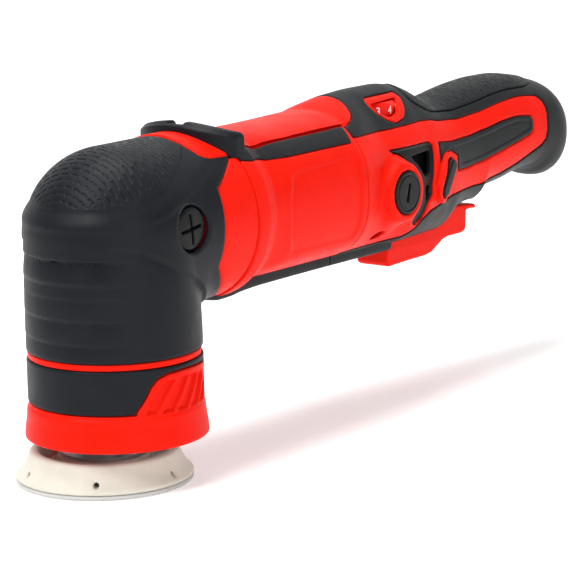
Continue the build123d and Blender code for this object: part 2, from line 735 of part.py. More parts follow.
# ---------------------------------------------------------------- controls
def speed_dial():
    """Numbered thumbwheel on an upright shaft, its rim notched for the thumb."""
    wheel = upright(DIAL_R, DIAL_Z, DIAL_Z + DIAL_H, (DIAL_X, 0))
    wheel = wheel - upright(DIAL_R - 3, DIAL_Z - 1, DIAL_Z + DIAL_H - 2, (DIAL_X, 0))
    wheel = wheel + upright(5.0, DIAL_Z, DIAL_Z + DIAL_H, (DIAL_X, 0))
    for i in range(30):
        notch = Pos(DIAL_X, 0, 0) * Rot(0, 0, 12 * i) * Pos(DIAL_R + 0.25, 0, DIAL_Z + 1) * Cylinder(0.6, 2.4)
        wheel = wheel - notch
    return wheel + upright(2.5, 130.2, DIAL_Z, (DIAL_X, 0))


def dial_control():
    """Rotary control under the thumbwheel."""
    body = block((DIAL_X - 6, -6, 129.6), (DIAL_X + 6, 6, DIAL_Z - 0.4))
    return body - upright(2.5 + FIT, 129, 140, (DIAL_X, 0))


def control_board():
    """Speed control circuit board with its power device and capacitor."""
    board = block((164, -14.5, 128.0), (195, 14.5, 129.6))
    heat_sink = block((165, -9, 123.0), (172, 9, 128.0))
    return board + heat_sink


def switch_body():
    return block((214, -8.5, 98.0), (250, 8.5, 119.0)) - block((226, -2.6, 90), (237, 2.6, 110.0))


def switch_plunger():
    """Plunger that the trigger lifts into the switch."""
    foot = block((228.5, -2.3, 89.2), (234.5, 2.3, 93.0))
    return foot + block((226.3, -2.3, 92.5), (236.7, 2.3, 103.0))


TRIGGER = [(189.4, 63), (191.4, 61.4), (206, 61.6), (222, 62), (229, 63.4), (234, 66), (239, 68.2),
           (252, 68.4), (255.6, 71), (256, 79.4), (264, 79.2), (265.6, 80.3), (264, 81.4), (255, 82.2),
           (246, 82.8), (239, 82), (234.5, 80), (234, 88.7), (229, 88.7), (227, 76), (204, 76),
           (201, 83.2), (193, 83.2), (190.5, 80)]
TRIGGER_HOLLOW = [(193, 65), (222, 65), (226, 68), (226, 80), (204, 80), (204, 73), (193, 73)]


def trigger():
    """Paddle trigger, pivoted at its front end, with a thin lip at the rear."""
    paddle = side_prism(TRIGGER, -TRIGGER_HALF_W, TRIGGER_HALF_W)
    paddle = paddle - side_prism(TRIGGER_HOLLOW, -TRIGGER_HALF_W + 2.2, TRIGGER_HALF_W - 2.2)
    return paddle - crosswise(PIVOT_PIN_R + FIT, *TRIGGER_PIVOT, -20, 20)


def trigger_pin():
    return crosswise(PIVOT_PIN_R, *TRIGGER_PIVOT, -PIVOT_PIN_HALF, PIVOT_PIN_HALF)


def lock_button():
    """Slanted button that holds the trigger on."""
    button = button_slot(0.0, -32.0, -19.5)
    stem = crosswise(2.5, BUTTON_X, BUTTON_Z, -19.5, -12.5)
    return button + stem


# ---------------------------------------------------------------- tail
GLAND_R = 8.0
GLAND_Z = 109.0
CORD_R = 4.0


def cord_gland():
    """Rubber bush in the tail with the hole that the mains lead goes through."""
    bush = lengthways(GLAND_R - 0.1, 338, TAIL_X, GLAND_Z) + lengthways(GLAND_R + 2.0, 334, 338, GLAND_Z)
    return bush - lengthways(CORD_R, 330, 360, GLAND_Z)


def handle_screws():
    screws = []
    for x, z in SCREWS:
        screw = crosswise(3.0, x, z, 12.05, 14.2) + crosswise(SCREW_R - 0.02, x, z, -8.5, 12.05)
        screws.append(screw)
    return Compound(children=screws)


def pair(builder):
    """Two pieces of one kind, one on each side."""
    solid = builder()
    solids = solid if isinstance(solid, list) else [solid]
    return Compound(children=solids + [mirrored(s) for s in solids])


PARTS = {
    "backing_plate": backing_plate, "hook_layer": hook_layer, "hub_plate": hub_plate,
    "pad_bolt": pad_bolt, "pad_spindle": pad_spindle,
    "pad_bearings": pad_bearings,
    "eccentric": eccentric, "output_spindle": output_spindle, "driven_gear": driven_gear,
    "pinion": pinion, "armature_shaft": armature_shaft, "armature_core": armature_core,
    "armature_windings": armature_windings, "commutator": commutator, "cooling_fan": cooling_fan,
    "motor_bearing_front": lambda: shaft_bearing(FRONT_BEARING_R, *FRONT_BEARING_X),
    "motor_bearing_rear": lambda: shaft_bearing(REAR_BEARING_R, *REAR_BEARING_X),
    "head_housing": head_housing, "head_boot": head_boot, "bridge": bridge,
    "side_plugs": lambda: pair(side_plug), "gear_casting": gear_casting,
    "spindle_bearings": spindle_bearings,
    "spacer_sleeve": spacer_sleeve, "bearing_cover": bearing_cover, "cover_screws": cover_screws,
    "shroud": shroud, "shroud_band": shroud_band, "trim_ring": trim_ring, "shroud_plate": shroud_plate,
    "motor_housing": motor_housing, "top_panel": top_panel, "side_strips": lambda: pair(side_strip),
    "belly_spine": belly_spine, "field_stator": field_stator, "field_coils": field_coils,
    "air_baffle": air_baffle,
    "handle_left": lambda: handle_shell(-1), "handle_right": lambda: handle_shell(1),
    "grip_skin": grip_skin, "belly_skin": belly_skin,
    "side_inlay_left": lambda: side_inlay(-1), "side_inlay_right": lambda: side_inlay(1),
    "vent_grille_left": lambda: vent_grille(-1), "vent_grille_right": lambda: vent_grille(1),
    "brush_caps": lambda: pair(lambda: brush_cap(1)), "brush_holders": lambda: pair(brush_holder),
    "carbon_brushes": lambda: pair(carbon_brush), "brush_springs": lambda: pair(brush_spring),
    "dial_bezels": dial_bezels,
    "speed_dial": speed_dial, "dial_control": dial_control, "control_board": control_board,
    "switch_body": switch_body, "switch_plunger": switch_plunger, "trigger": trigger,
    "trigger_pin": trigger_pin, "lock_button": lock_button,
    "cord_gland": cord_gland, "handle_screws": handle_screws,
}

if __name__ == "__main__":
    os.makedirs("parts", exist_ok=True)
    for node, build in PARTS.items():
        export_step(build(), f"parts/{node}.step")
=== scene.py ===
"""Looks of the dual action polisher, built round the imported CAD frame.

Every visible surface is a field: a function of x, y, z in millimetres that is below zero inside the
piece. Fields are combined with rounded unions and cuts, then drawn as a mesh of small quads.
"""
import json
import math

import bpy
import numpy as np
from mathutils import Matrix, Vector


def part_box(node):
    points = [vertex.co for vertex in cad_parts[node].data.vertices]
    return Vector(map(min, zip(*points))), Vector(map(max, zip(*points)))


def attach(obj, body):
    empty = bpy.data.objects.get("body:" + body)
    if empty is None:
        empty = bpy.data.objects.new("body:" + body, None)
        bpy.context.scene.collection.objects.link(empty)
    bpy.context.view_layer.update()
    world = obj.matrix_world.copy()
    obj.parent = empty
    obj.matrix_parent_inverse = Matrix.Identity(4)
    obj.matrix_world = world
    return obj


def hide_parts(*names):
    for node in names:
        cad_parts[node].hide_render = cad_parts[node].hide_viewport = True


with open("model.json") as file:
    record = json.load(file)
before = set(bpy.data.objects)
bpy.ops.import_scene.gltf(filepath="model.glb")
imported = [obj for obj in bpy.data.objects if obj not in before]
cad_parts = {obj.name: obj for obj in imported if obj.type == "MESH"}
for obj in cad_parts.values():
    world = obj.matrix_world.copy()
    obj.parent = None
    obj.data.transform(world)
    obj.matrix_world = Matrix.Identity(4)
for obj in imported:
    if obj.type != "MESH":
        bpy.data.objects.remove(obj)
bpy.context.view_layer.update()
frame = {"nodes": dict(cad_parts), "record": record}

MM = 0.001
COARSE = 1.0     # grows every mesh step while trying things

# ---------------------------------------------------------------- sizes from the frame (mm)


def node_box(name):
    """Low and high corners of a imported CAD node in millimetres."""
    low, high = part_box(name)
    return np.array(low) / MM, np.array(high) / MM


HEAD_LOW = node_box("head_boot")[0]
MOTOR_LOW, MOTOR_HIGH = node_box("motor_housing")
HEAD_R = -HEAD_LOW[0]                                   # dome, barrel and neck share one radius
AXIS_Z = (MOTOR_LOW[2] + MOTOR_HIGH[2]) / 2             # height of the motor shaft
HEAD_END_X = MOTOR_LOW[0]
MOTOR_END_X = MOTOR_HIGH[0]
TAIL_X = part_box("cord_gland")[1][0] / MM


# ---------------------------------------------------------------- field helpers
def smin(a, b, k):
    """Union with a rounded inside corner of size k."""
    h = np.clip(0.5 + 0.5 * (b - a) / k, 0, 1)
    return b * (1 - h) + a * h - k * h * (1 - h)


def smax(a, b, k):
    """Cut or overlap with a rounded edge of size k."""
    return -smin(-a, -b, k)


def ease(value, low, high):
    """0 below low, 1 above high and a smooth step between."""
    t = np.clip((value - low) / (high - low), 0, 1)
    return t * t * (3 - 2 * t)


def bump(value, centre, half):
    """Smooth hill of height 1 and the given half width."""
    t = np.clip(1 - ((value - centre) / half) ** 2, 0, 1)
    return t * t


def rotated(across, up, degrees):
    """Coordinates in axes turned by the angle."""
    a = math.radians(degrees)
    return across * math.cos(a) + up * math.sin(a), -across * math.sin(a) + up * math.cos(a)


def both_sides(points):
    """Half outline from one end to the other, closed by its mirror image in the second coordinate."""
    return points + [(a, -b) for a, b in reversed(points) if b > 0]


def curve(*points):
    """Smooth curve through given points that never overshoots them."""
    xs, ys = (np.array(v, float) for v in zip(*points))
    step = np.diff(xs)
    slope = np.diff(ys) / step
    tangent = np.zeros(len(xs))
    tangent[0], tangent[-1] = slope[0], slope[-1]
    for i in range(1, len(xs) - 1):
        if slope[i - 1] * slope[i] > 0:
            w1, w2 = 2 * step[i] + step[i - 1], step[i] + 2 * step[i - 1]
            tangent[i] = (w1 + w2) / (w1 / slope[i - 1] + w2 / slope[i])
    fine = np.arange(xs[0], xs[-1] + 0.1, 0.2)
    i = np.clip(np.searchsorted(xs, fine) - 1, 0, len(xs) - 2)
    t = np.clip((fine - xs[i]) / step[i], 0, 1)
    value = ((2 * t**3 - 3 * t**2 + 1) * ys[i] + (t**3 - 2 * t**2 + t) * step[i] * tangent[i]
             + (3 * t**2 - 2 * t**3) * ys[i + 1] + (t**3 - t**2) * step[i] * tangent[i + 1])
    return lambda x: np.interp(x, fine, value)


class Outline:
    """Signed distance to a closed outline in two coordinates, below zero inside."""
    CELL = 0.4
    MARGIN = 12.0

    def __init__(self, points, corner):
        """Tables the distance on a grid; corner is how far the corners are rounded."""
        loop = np.array(points, float)
        self.low = loop.min(0) - self.MARGIN
        count = np.ceil((loop.max(0) + self.MARGIN - self.low) / self.CELL).astype(int) + 1
        u = self.low[0] + self.CELL * np.arange(count[0])[:, None]
        v = self.low[1] + self.CELL * np.arange(count[1])[None, :]
        distance = np.full(tuple(count), 1e9)
        inside = np.zeros(tuple(count), bool)
        for (ax, ay), (bx, by) in zip(loop, np.roll(loop, -1, 0)):
            ex, ey = bx - ax, by - ay
            t = np.clip(((u - ax) * ex + (v - ay) * ey) / (ex * ex + ey * ey + 1e-12), 0, 1)
            distance = np.minimum(distance, (u - ax - t * ex) ** 2 + (v - ay - t * ey) ** 2)
            crosses = (ay > v) != (by > v)
            with np.errstate(divide="ignore", invalid="ignore"):
                inside ^= crosses & (u < ex * (v - ay) / ey + ax)
        table = np.sqrt(distance) * np.where(inside, -1, 1)
        self.table = self.rounded(table, corner)

    def rounded(self, table, corner):
        """Blurs the distance a little, which rounds the outline's corners."""
        reach = int(round(corner / self.CELL))
        if reach < 1:
            return table
        kernel = np.hanning(2 * reach + 3)[1:-1]
        kernel /= kernel.sum()
        for axis in (0, 1):
            pad = [(reach, reach) if i == axis else (0, 0) for i in (0, 1)]
            padded = np.pad(table, pad, mode="edge")
            table = sum(w * np.take(padded, range(i, i + table.shape[axis]), axis=axis)
                        for i, w in enumerate(kernel))
        return table

    def __call__(self, u, v):
        """Distance at the points, read between the table's cells."""
        rows, columns = self.table.shape
        fu = np.clip((u - self.low[0]) / self.CELL, 0, rows - 1.001)
        fv = np.clip((v - self.low[1]) / self.CELL, 0, columns - 1.001)
        i, j = fu.astype(int), fv.astype(int)
        s, t = fu - i, fv - j
        table = self.table
        return ((1 - s) * ((1 - t) * table[i, j] + t * table[i, j + 1])
                + s * ((1 - t) * table[i + 1, j] + t * table[i + 1, j + 1]))


# ---------------------------------------------------------------- fields to meshes
CORNERS = np.array([(i, j, k) for i in (0, 1) for j in (0, 1) for k in (0, 1)])
EDGES = [(a, b) for a in range(8) for b in range(a + 1, 8) if np.abs(CORNERS[a] - CORNERS[b]).sum() == 1]
BLOCK = 8
CHUNK = 400000
NEWTON_ROUNDS = 4
SLOPE_STEP = 0.05                         # mm either side of a point when its slope is measured


def evaluate(field, points):
    """Field values at many points, in chunks that fit in memory."""
    out = np.empty(len(points), np.float32)
    for start in range(0, len(points), CHUNK):
        part = points[start:start + CHUNK]
        out[start:start + CHUNK] = field(part[:, 0], part[:, 1], part[:, 2])
    return out


def sample(field, low, step, count):
    """Field on a lattice; blocks far from the surface only get its sign."""
    blocks = -(-count // BLOCK)
    index = np.stack(np.meshgrid(*[np.arange(n) for n in blocks], indexing="ij"), -1).reshape(-1, 3)
    middle = low + (index * BLOCK + (BLOCK - 1) / 2) * step
    rough = evaluate(field, middle)
    near = np.abs(rough) < BLOCK * step * 1.5 + 1.0
    values = np.where(rough < 0, -9.0, 9.0).astype(np.float32).reshape(tuple(blocks))
    for axis in range(3):
        values = values.repeat(BLOCK, axis)
    local = np.stack(np.meshgrid(*[np.arange(BLOCK)] * 3, indexing="ij"), -1).reshape(-1, 3)
    cells = (index[near] * BLOCK)[:, None, :] + local[None]
    cells = cells.reshape(-1, 3)
    values[cells[:, 0], cells[:, 1], cells[:, 2]] = evaluate(field, low + cells * step)
    return values


def onto_surface(field, points, step):
    """Moves points along the field's slope until they lie on its zero level."""
    start = points.copy()
    h = SLOPE_STEP
    for _ in range(NEWTON_ROUNDS):
        value = evaluate(field, points).astype(float)
        slope = np.empty_like(points)
        for axis in range(3):
            shift = np.zeros(3)
            shift[axis] = h
            slope[:, axis] = (evaluate(field, points + shift) - evaluate(field, points - shift)) / (2 * h)
        size = np.maximum((slope**2).sum(1), 0.05)
        points = points - slope * (value / size)[:, None]
        points = start + np.clip(points - start, -0.6 * step, 0.6 * step)
    return points


def polygonise(field, low, high, step):
    """Quads on the surface where the field is zero, by surface nets."""
    step = step * COARSE
    low = np.array(low, float) - 1.5 * step
    count = np.ceil((np.array(high, float) - low) / step + 1.5).astype(int)
    values = sample(field, low, step, count)
    inside = values < 0
    shape = np.array(values.shape) - 1
    total = sum(inside[c[0]:c[0] + shape[0], c[1]:c[1] + shape[1], c[2]:c[2] + shape[2]].astype(np.int8)
                for c in CORNERS)
    cells = np.argwhere((total > 0) & (total < 8))
    at = [cells + c for c in CORNERS]
    v = np.stack([values[a[:, 0], a[:, 1], a[:, 2]] for a in at], 1)
    position = np.zeros((len(cells), 3))
    hits = np.zeros(len(cells))
    for a, b in EDGES:
        crossed = (v[:, a] < 0) != (v[:, b] < 0)
        t = np.where(crossed, v[:, a] / np.where(crossed, v[:, a] - v[:, b], 1), 0)
        point = CORNERS[a] + t[:, None] * (CORNERS[b] - CORNERS[a])
        position += point * crossed[:, None]
        hits += crossed
    points = low + (cells + position / hits[:, None]) * step
    number = np.full(tuple(shape), -1, np.int32)
    number[cells[:, 0], cells[:, 1], cells[:, 2]] = np.arange(len(cells))
    quads = []
    for axis in range(3):
        b, c = (axis + 1) % 3, (axis + 2) % 3
        first = [slice(1, shape[i]) for i in range(3)]
        second = list(first)
        first[axis], second[axis] = slice(0, shape[axis]), slice(1, shape[axis] + 1)
        start, end = inside[tuple(first)], inside[tuple(second)]
        crossing = np.argwhere(start != end)
        leaving = start[tuple(crossing.T)]
        base = crossing + 1
        base[:, axis] -= 1
        around = []
        for db, dc in ((1, 1), (0, 1), (0, 0), (1, 0)):
            cell = base.copy()
            cell[:, b] -= db
            cell[:, c] -= dc
            around.append(number[tuple(cell.T)])
        quad = np.stack(around, 1)
        quad[~leaving] = quad[~leaving][:, ::-1]
        quads.append(quad)
    quads = np.concatenate(quads)
    return onto_surface(field, points, step), quads[(quads >= 0).all(1)]


def new_object(name, data):
    """Object in the scene that holds the data."""
    made = bpy.data.objects.new(name, data)
    bpy.context.scene.collection.objects.link(made)
    return made


def sculpt(name, field, low, high, step, replaces, material, body="housing", mirror=False):
    """Mesh piece from a field, riding on a body in place of CAD nodes."""
    points, quads = polygonise(field, low, high, step)
    if mirror:
        flipped = points * np.array([1, -1, 1])
        quads = np.concatenate([quads, quads[:, ::-1] + len(points)])
        points = np.concatenate([points, flipped])
    return add_piece(name, points, quads, body, replaces, material)


def add_piece(name, points, faces, body, replaces, material):
    """Smooth mesh object that rides on a body and material."""
    mesh = bpy.data.meshes.new(name)
    mesh.from_pydata(np.asarray(points) * MM, [], faces)
    mesh.validate()
    mesh.shade_smooth()
    piece = new_object(name, mesh)
    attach(piece, body)
    if replaces:
        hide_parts(*replaces)
    mesh.materials.append(material)
    return piece


# ---------------------------------------------------------------- materials
def set_inputs(shader, values):
    """Sets a node's inputs by name."""
    for key, value in values.items():
        shader.inputs[key].default_value = value


def wire(tree, source, target):
    """Joins an output to an input."""
    tree.links.new(source, target)


def node(tree, kind, **settings):
    """New shader node with the given settings."""
    made = tree.nodes.new(kind)
    for key, value in settings.items():
        setattr(made, key, value)
    return made


def noise(tree, place, scale, detail):
    """Noise pattern of the given scale at an object's own coordinates."""
    made = node(tree, "ShaderNodeTexNoise")
    set_inputs(made, {"Scale": scale, "Detail": detail, "Roughness": 0.55})
    wire(tree, place, made.inputs["Vector"])
    return made.outputs["Fac"]


def ramp(tree, source, low, high, from_low=0.3, from_high=0.7):
    """Maps a 0..1 pattern to a range of numbers."""
    made = node(tree, "ShaderNodeMapRange")
    set_inputs(made, {"From Min": from_low, "From Max": from_high, "To Min": low, "To Max": high})
    wire(tree, source, made.inputs["Value"])
    return made.outputs["Result"]


def mottled(tree, fac, first, second):
    """Colour that wanders between two colours with the pattern."""
    made = node(tree, "ShaderNodeMix", data_type="RGBA")
    set_inputs(made, {"A": (*first, 1), "B": (*second, 1)})
    wire(tree, fac, made.inputs["Factor"])
    return made.outputs["Result"]


EDGE_WEAR = 0.25                          # how far worn edges go towards the wear colour
SPOTS = 90.0                              # scale of the uneven gloss


def moulded(name, base, wear, roughness, grain, grain_depth, metallic=0.0, specular=0.5):
    """Moulded plastic, rubber or metal: fine grain, uneven gloss and paler worn edges."""
    material = bpy.data.materials.new(name)
    material.use_nodes = True
    tree = material.node_tree
    shader = tree.nodes["Principled BSDF"]
    place = node(tree, "ShaderNodeTexCoord").outputs["Object"]
    broad = noise(tree, place, SPOTS, 4.0)
    fine = noise(tree, place, grain, 2.0)
    worn = node(tree, "ShaderNodeNewGeometry").outputs["Pointiness"]
    edge = ramp(tree, worn, 0.0, EDGE_WEAR, 0.52, 0.62)
    colour = mottled(tree, ramp(tree, broad, 0.0, 1.0), base, tuple(min(1, c * 1.10 + 0.002) for c in base))
    tint = node(tree, "ShaderNodeMix", data_type="RGBA")
    tint.inputs["B"].default_value = (*wear, 1)
    wire(tree, edge, tint.inputs["Factor"])
    wire(tree, colour, tint.inputs["A"])
    wire(tree, tint.outputs["Result"], shader.inputs["Base Color"])
    wire(tree, ramp(tree, broad, roughness - 0.05, roughness + 0.07), shader.inputs["Roughness"])
    set_inputs(shader, {"Metallic": metallic, "Specular IOR Level": specular})
    relief = node(tree, "ShaderNodeBump")
    set_inputs(relief, {"Strength": 0.32, "Distance": grain_depth})
    wire(tree, fine, relief.inputs["Height"])
    wire(tree, relief.outputs["Normal"], shader.inputs["Normal"])
    return material


RED = moulded("red_plastic", (0.74, 0.008, 0.001), (0.9, 0.03, 0.01), 0.42, 2600, 0.00004, specular=0.06)
DIAL_RED = moulded("dial_plastic", (0.76, 0.008, 0.002),
                   (0.9, 0.03, 0.01), 0.36, 2200, 0.00003, specular=0.12)
BOOT = moulded("boot_rubber", (0.006, 0.0075, 0.010),
               (0.02, 0.023, 0.028), 0.46, 1900, 0.00006, specular=0.13)
RUBBER = moulded("grip_rubber", (0.010, 0.011, 0.012),
                 (0.022, 0.023, 0.024), 0.48, 1900, 0.00006, specular=0.14)
BLACK = moulded("black_plastic", (0.006, 0.0065, 0.007),
                (0.02, 0.02, 0.022), 0.40, 2400, 0.00004, specular=0.14)
# painted shade: near-black colour for the sheet behind the air inlets, standing in for the shaded inside
PAINTED_SHADE = moulded("painted_shade_inside", (0.002, 0.002, 0.002), (0.004, 0.004, 0.004), 0.7, 1500, 0.00004, specular=0.05)
CREAM = moulded("pad_urethane", (0.60, 0.58, 0.50), (0.68, 0.66, 0.59), 0.55, 1500, 0.00008, specular=0.35)
HOOKS = moulded("hook_nylon", (0.50, 0.50, 0.48), (0.7, 0.7, 0.68), 0.75, 900, 0.0004, specular=0.3)
STEEL = moulded("steel", (0.55, 0.56, 0.58), (0.75, 0.75, 0.77), 0.32, 3000, 0.00002, metallic=1.0)
IRON = moulded("laminations", (0.30, 0.31, 0.33), (0.5, 0.5, 0.52), 0.42, 900, 0.00006, metallic=1.0)
ALLOY = moulded("cast_aluminium", (0.62, 0.63, 0.65), (0.8, 0.8, 0.82), 0.45, 1200, 0.0001, metallic=1.0)
COPPER = moulded("copper", (0.72, 0.33, 0.17), (0.9, 0.55, 0.35), 0.38, 1300, 0.0001, metallic=1.0)
BRASS = moulded("brass", (0.74, 0.55, 0.24), (0.9, 0.75, 0.45), 0.33, 1800, 0.00004, metallic=1.0)
CARBON = moulded("carbon", (0.035, 0.035, 0.038), (0.1, 0.1, 0.1), 0.6, 2500, 0.00005)
BOARD = moulded("circuit_board", (0.04, 0.17, 0.07), (0.1, 0.3, 0.15), 0.4, 700, 0.00004)
FAN = moulded("fan_plastic", (0.16, 0.16, 0.17), (0.25, 0.25, 0.26), 0.5, 1500, 0.00005)
WHITE_INK = moulded("white_ink", (0.85, 0.83, 0.80), (0.9, 0.9, 0.9), 0.5, 2500, 0.00002)


# ---------------------------------------------------------------- head
CREASE = curve((-40, 107.5), (-31, 107), (-25, 106), (-16, 103), (-7, 99), (2, 94), (14, 88), (25, 80),
               (33, 73.5), (40, 69), (50, 66))
RIBS = ((101.0, 1.7, 9.0), (91.0, 0.5, 8.0), (85.0, 0.35, 6.0), (76.0, 0.6, 7.0), (66.0, 0.5, 6.0))
PLUG_X, PLUG_Z, PLUG_R = 10.0, 110.5, 9.5
COLLAR_X = 52.5                         # where the boot meets the collar
PATCH = Outline(both_sides([(31.5, 0), (31.5, 8), (31.9, 16), (32.6, 22), (34, 24), (37, 25), (50, 25)]), 0.6)
FACET = Outline([(48.6, 134.5), (31.3, 124.2), (30.4, 91), (43, 78), (54, 70), (60, 68), (60, 134.5)], 0.5)


def angle_from_rear(x, y):
    """0 at the back of the head, 90 at its sides and 180 at its front."""
    return np.degrees(np.arctan2(np.abs(y), x))


def head_surface(x, y, z):
    """Dome, barrel and neck with the crease on the flank and the ribs at the front."""
    dz = z - AXIS_Z
    upright = np.sqrt(x * x + y * y + np.maximum(dz, 0)**2) - HEAD_R
    neck = np.sqrt(np.minimum(x, 0)**2 + y * y + dz * dz) - HEAD_R
    round_in = 0.05 + 9.0 * ease(x, 4, 26) * ease(-dz, 4, 26)
    shape = smin(upright, neck, round_in)
    from_rear = angle_from_rear(x, y)
    below = CREASE(x) - z
    flank = 1 - ease(from_rear, 118, 148)
    flank = flank * ease(np.abs(y), 6, 18)
    shape = shape + flank * 1.5 * ease(below, -0.8, 0.8) * np.exp(-np.maximum(below, 0) / 7.0)
    front = ease(from_rear, 118, 152)
    for height, depth, run in RIBS:
        under = height - z
        shape = shape + front * depth * ease(under, -0.5, 0.5) * np.clip(1 - under / run, 0, 1)**1.5
    return shape


def cap_edge(x, y, z):
    """Above zero inside the textured cap on the dome."""
    return z - (129.3 + 0.32 * x - 5.0 * (y / 34.0)**2)


def cap_dashes(x, y, z):
    """Staggered short grooves that run across the dome."""
    along = np.arcsin(np.clip(x / HEAD_R, -1, 1)) * HEAD_R / 3.1
    row = np.floor(along)
    across = np.arctan2(y, z - AXIS_Z) * 32 / 6.2 + 0.5 * np.mod(row, 2) + 0.13 * np.sin(row * 2.3)
    in_row = along - row
    in_dash = np.abs(across - np.round(across)) * 2
    groove = np.clip(1 - np.abs(in_row - 0.5 - 0.12 * (0.5 - in_dash)) / 0.16, 0, 1)
    return ease(groove, 0, 1) * (1 - ease(in_dash, 0.62, 0.86))


def boot_surface(x, y, z):
    """Head surface with the cap sunk into the dome behind a soft rim."""
    edge = cap_edge(x, y, z)
    return head_surface(x, y, z) + 0.9 * ease(edge, -0.5, 3.0) - 0.45 * bump(edge, -2.2, 3.0)


def boot_field(x, y, z):
    """Rubber boot over the head, open at the patch, side panels and plugs."""
    surface = boot_surface(x, y, z)
    surface = surface + 1.1 * ease(cap_edge(x, y, z), 3.7, 4.9) * ease(z, 112, 116)
    ay = np.abs(y)
    patch = smax(PATCH(x, y), AXIS_Z + 18 - z, 1.0)
    facet = smax(FACET(x, z), 14 - ay, 1.0)
    plug = np.sqrt((x - PLUG_X)**2 + (z - PLUG_Z)**2) - PLUG_R - 0.5
    plug = np.maximum(plug, 20 - ay)
    body = smax(surface, -patch + 0.1, 0.9)
    body = smax(body, -facet + 0.1, 0.9)
    body = smax(body, -plug, 1.4)
    body = smax(body, 57.9 - z, 1.2)
    body = smax(body, x - COLLAR_X, 0.5)
    return np.maximum(body, -(surface + 2.3))


def red_head_field(x, y, z):
    """Red housing where it comes up flush with the boot: top patch and side panels."""
    surface = head_surface(x, y, z) + 0.15
    ay = np.abs(y)
    patch = smax(PATCH(x, y) + 0.25, AXIS_Z + 16 - z, 1.0)
    facet = smax(FACET(x, z) + 0.25, 12 - ay, 1.0)
    # the panel is folded along an upright line, so its front part leans in
    lean = smax(surface, surface + 0.10 * (36 - x), 1.0)
    raised = smin(smax(lean, facet, 0.8), smax(surface + 0.1, patch, 0.8), 0.3)
    core = surface + 2.6
    core = smax(core, 56.0 - z, 1.0)
    bore = np.maximum(np.sqrt((x - PLUG_X)**2 + (z - PLUG_Z)**2) - PLUG_R - 2.4, 20 - ay)
    core = smax(core, -bore, 0.4)
    body = smin(raised, core, 0.4)
    body = smax(body, x - HEAD_END_X + 0.15, 0.7)
    return np.maximum(body, -(surface + 5.0))


def plug_field(x, y, z):
    """Domed plug with a cross slot, sunk a little below the boot."""
    ay = np.abs(y)
    face = HEAD_R - 2.2
    radius = np.sqrt((x - PLUG_X)**2 + (z - PLUG_Z)**2)
    plug = smax(radius - PLUG_R + 0.35, ay - face - 0.02 * (PLUG_R**2 - radius**2) * 0.4, 1.0)
    seat = np.maximum(radius - PLUG_R - 1.4, ay - face + 2.8)
    plug = np.maximum(smin(plug, seat, 0.3), face - 5 - ay)
    u, v = rotated(x - PLUG_X, z - PLUG_Z, 8)
    for a, b in ((u, v), (v, u)):
        slot = np.maximum(np.maximum(np.abs(a) - 0.65, np.abs(b) - 6.6), face - 1.6 - ay)
        plug = smax(plug, -slot, 0.5)
    return plug


# ---------------------------------------------------------------- stage
CAMERA_AZIMUTH, CAMERA_ELEVATION = 52.6, 11.4
CAMERA_ROLL = -1.15
CAMERA_AT = (-884.5, -771.8, 316.5)
LENS_PIXELS = 2800.0
FRAME_PIXELS = 582.0


def add_camera():
    """Camera at the photograph's viewing angle."""
    data = bpy.data.cameras.new("camera")
    data.sensor_width = 36.0
    data.lens = LENS_PIXELS / FRAME_PIXELS * data.sensor_width
    data.clip_end = 20.0
    camera = new_object("camera", data)
    a, e, roll = (math.radians(v) for v in (CAMERA_AZIMUTH, CAMERA_ELEVATION, CAMERA_ROLL))
    ahead = np.array([math.sin(a) * math.cos(e), math.cos(a) * math.cos(e), -math.sin(e)])
    right = np.array([math.cos(a), -math.sin(a), 0.0])
    up = np.cross(right, ahead)
    turned_right = right * math.cos(roll) + up * math.sin(roll)
    turned_up = -right * math.sin(roll) + up * math.cos(roll)
    rows = [[turned_right[i], turned_up[i], -ahead[i], CAMERA_AT[i] * MM] for i in range(3)]
    camera.matrix_world = Matrix(rows + [[0, 0, 0, 1]])
    bpy.context.scene.camera = camera


# ---------------------------------------------------------------- motor housing and handle
RUBBER_T = 1.4                          # soft skin over the housings
PROUD = 0.35                            # how far the skin stands out
SHELL_T = 3.2                           # wall of a housing
LET_IN = 1.5                            # depth of a pocket for a flush piece
SEAM = 0.12                             # half of the gap between two housings

TOP = curve((50, 146), (61, 146), (66, 143.9), (72, 142.1), (80, 141.8), (138, 142.8), (146, 145.2),
            (158, 148), (174, 149), (190, 149), (202, 147.6), (210, 144.8), (218, 140.6), (225, 137.5),
            (232, 137), (241, 138.2), (252, 140), (266, 141.6), (281, 142.4), (294, 142.2), (308, 140.4),
            (322, 137.4), (334, 133.6), (343, 130), (353, 126))
BOTTOM = curve((50, 69), (61, 69), (66, 71), (74, 74.5), (138, 74.6), (170, 73.4), (227, 73.4), (232, 75.6),
               (238, 79.6), (246, 82.3), (256, 83), (260.5, 82.8), (263.5, 86), (268, 88), (285, 90),
               (294, 91.6), (303, 93.2), (311, 94), (317, 92), (323, 88.4), (331, 86.6), (340, 88), (353, 93))
HALF_W = curve((50, 38.4), (61, 38.4), (66, 36.6), (71, 34.9), (77, 34.9), (86, 35.7), (138, 35.9),
               (146, 34.4), (156, 33), (176, 32), (190, 30.6), (204, 28.6), (216, 26.2), (228, 24),
               (240, 22.4), (254, 21.6), (282, 21.9), (300, 22.3), (315, 22.5), (328, 22.3), (340, 20.8),
               (353, 18))
WAIST = curve((50, 107.5), (138, 107.5), (168, 105), (200, 105.5), (227, 108.5), (254, 112), (296, 115),
              (312, 114), (334, 110.5), (353, 109))
ROUND_UP = curve((50, 2.0), (62, 2.0), (82, 2.35), (130, 2.35), (144, 2.15), (166, 1.72), (200, 1.72),
                 (214, 1.95), (227, 2.2), (353, 2.3))
ROUND_DOWN = curve((50, 2.0), (62, 2.0), (82, 2.35), (138, 2.35), (170, 2.1), (190, 2.6), (238, 2.6),
                   (262, 2.4), (300, 2.3), (353, 2.2))
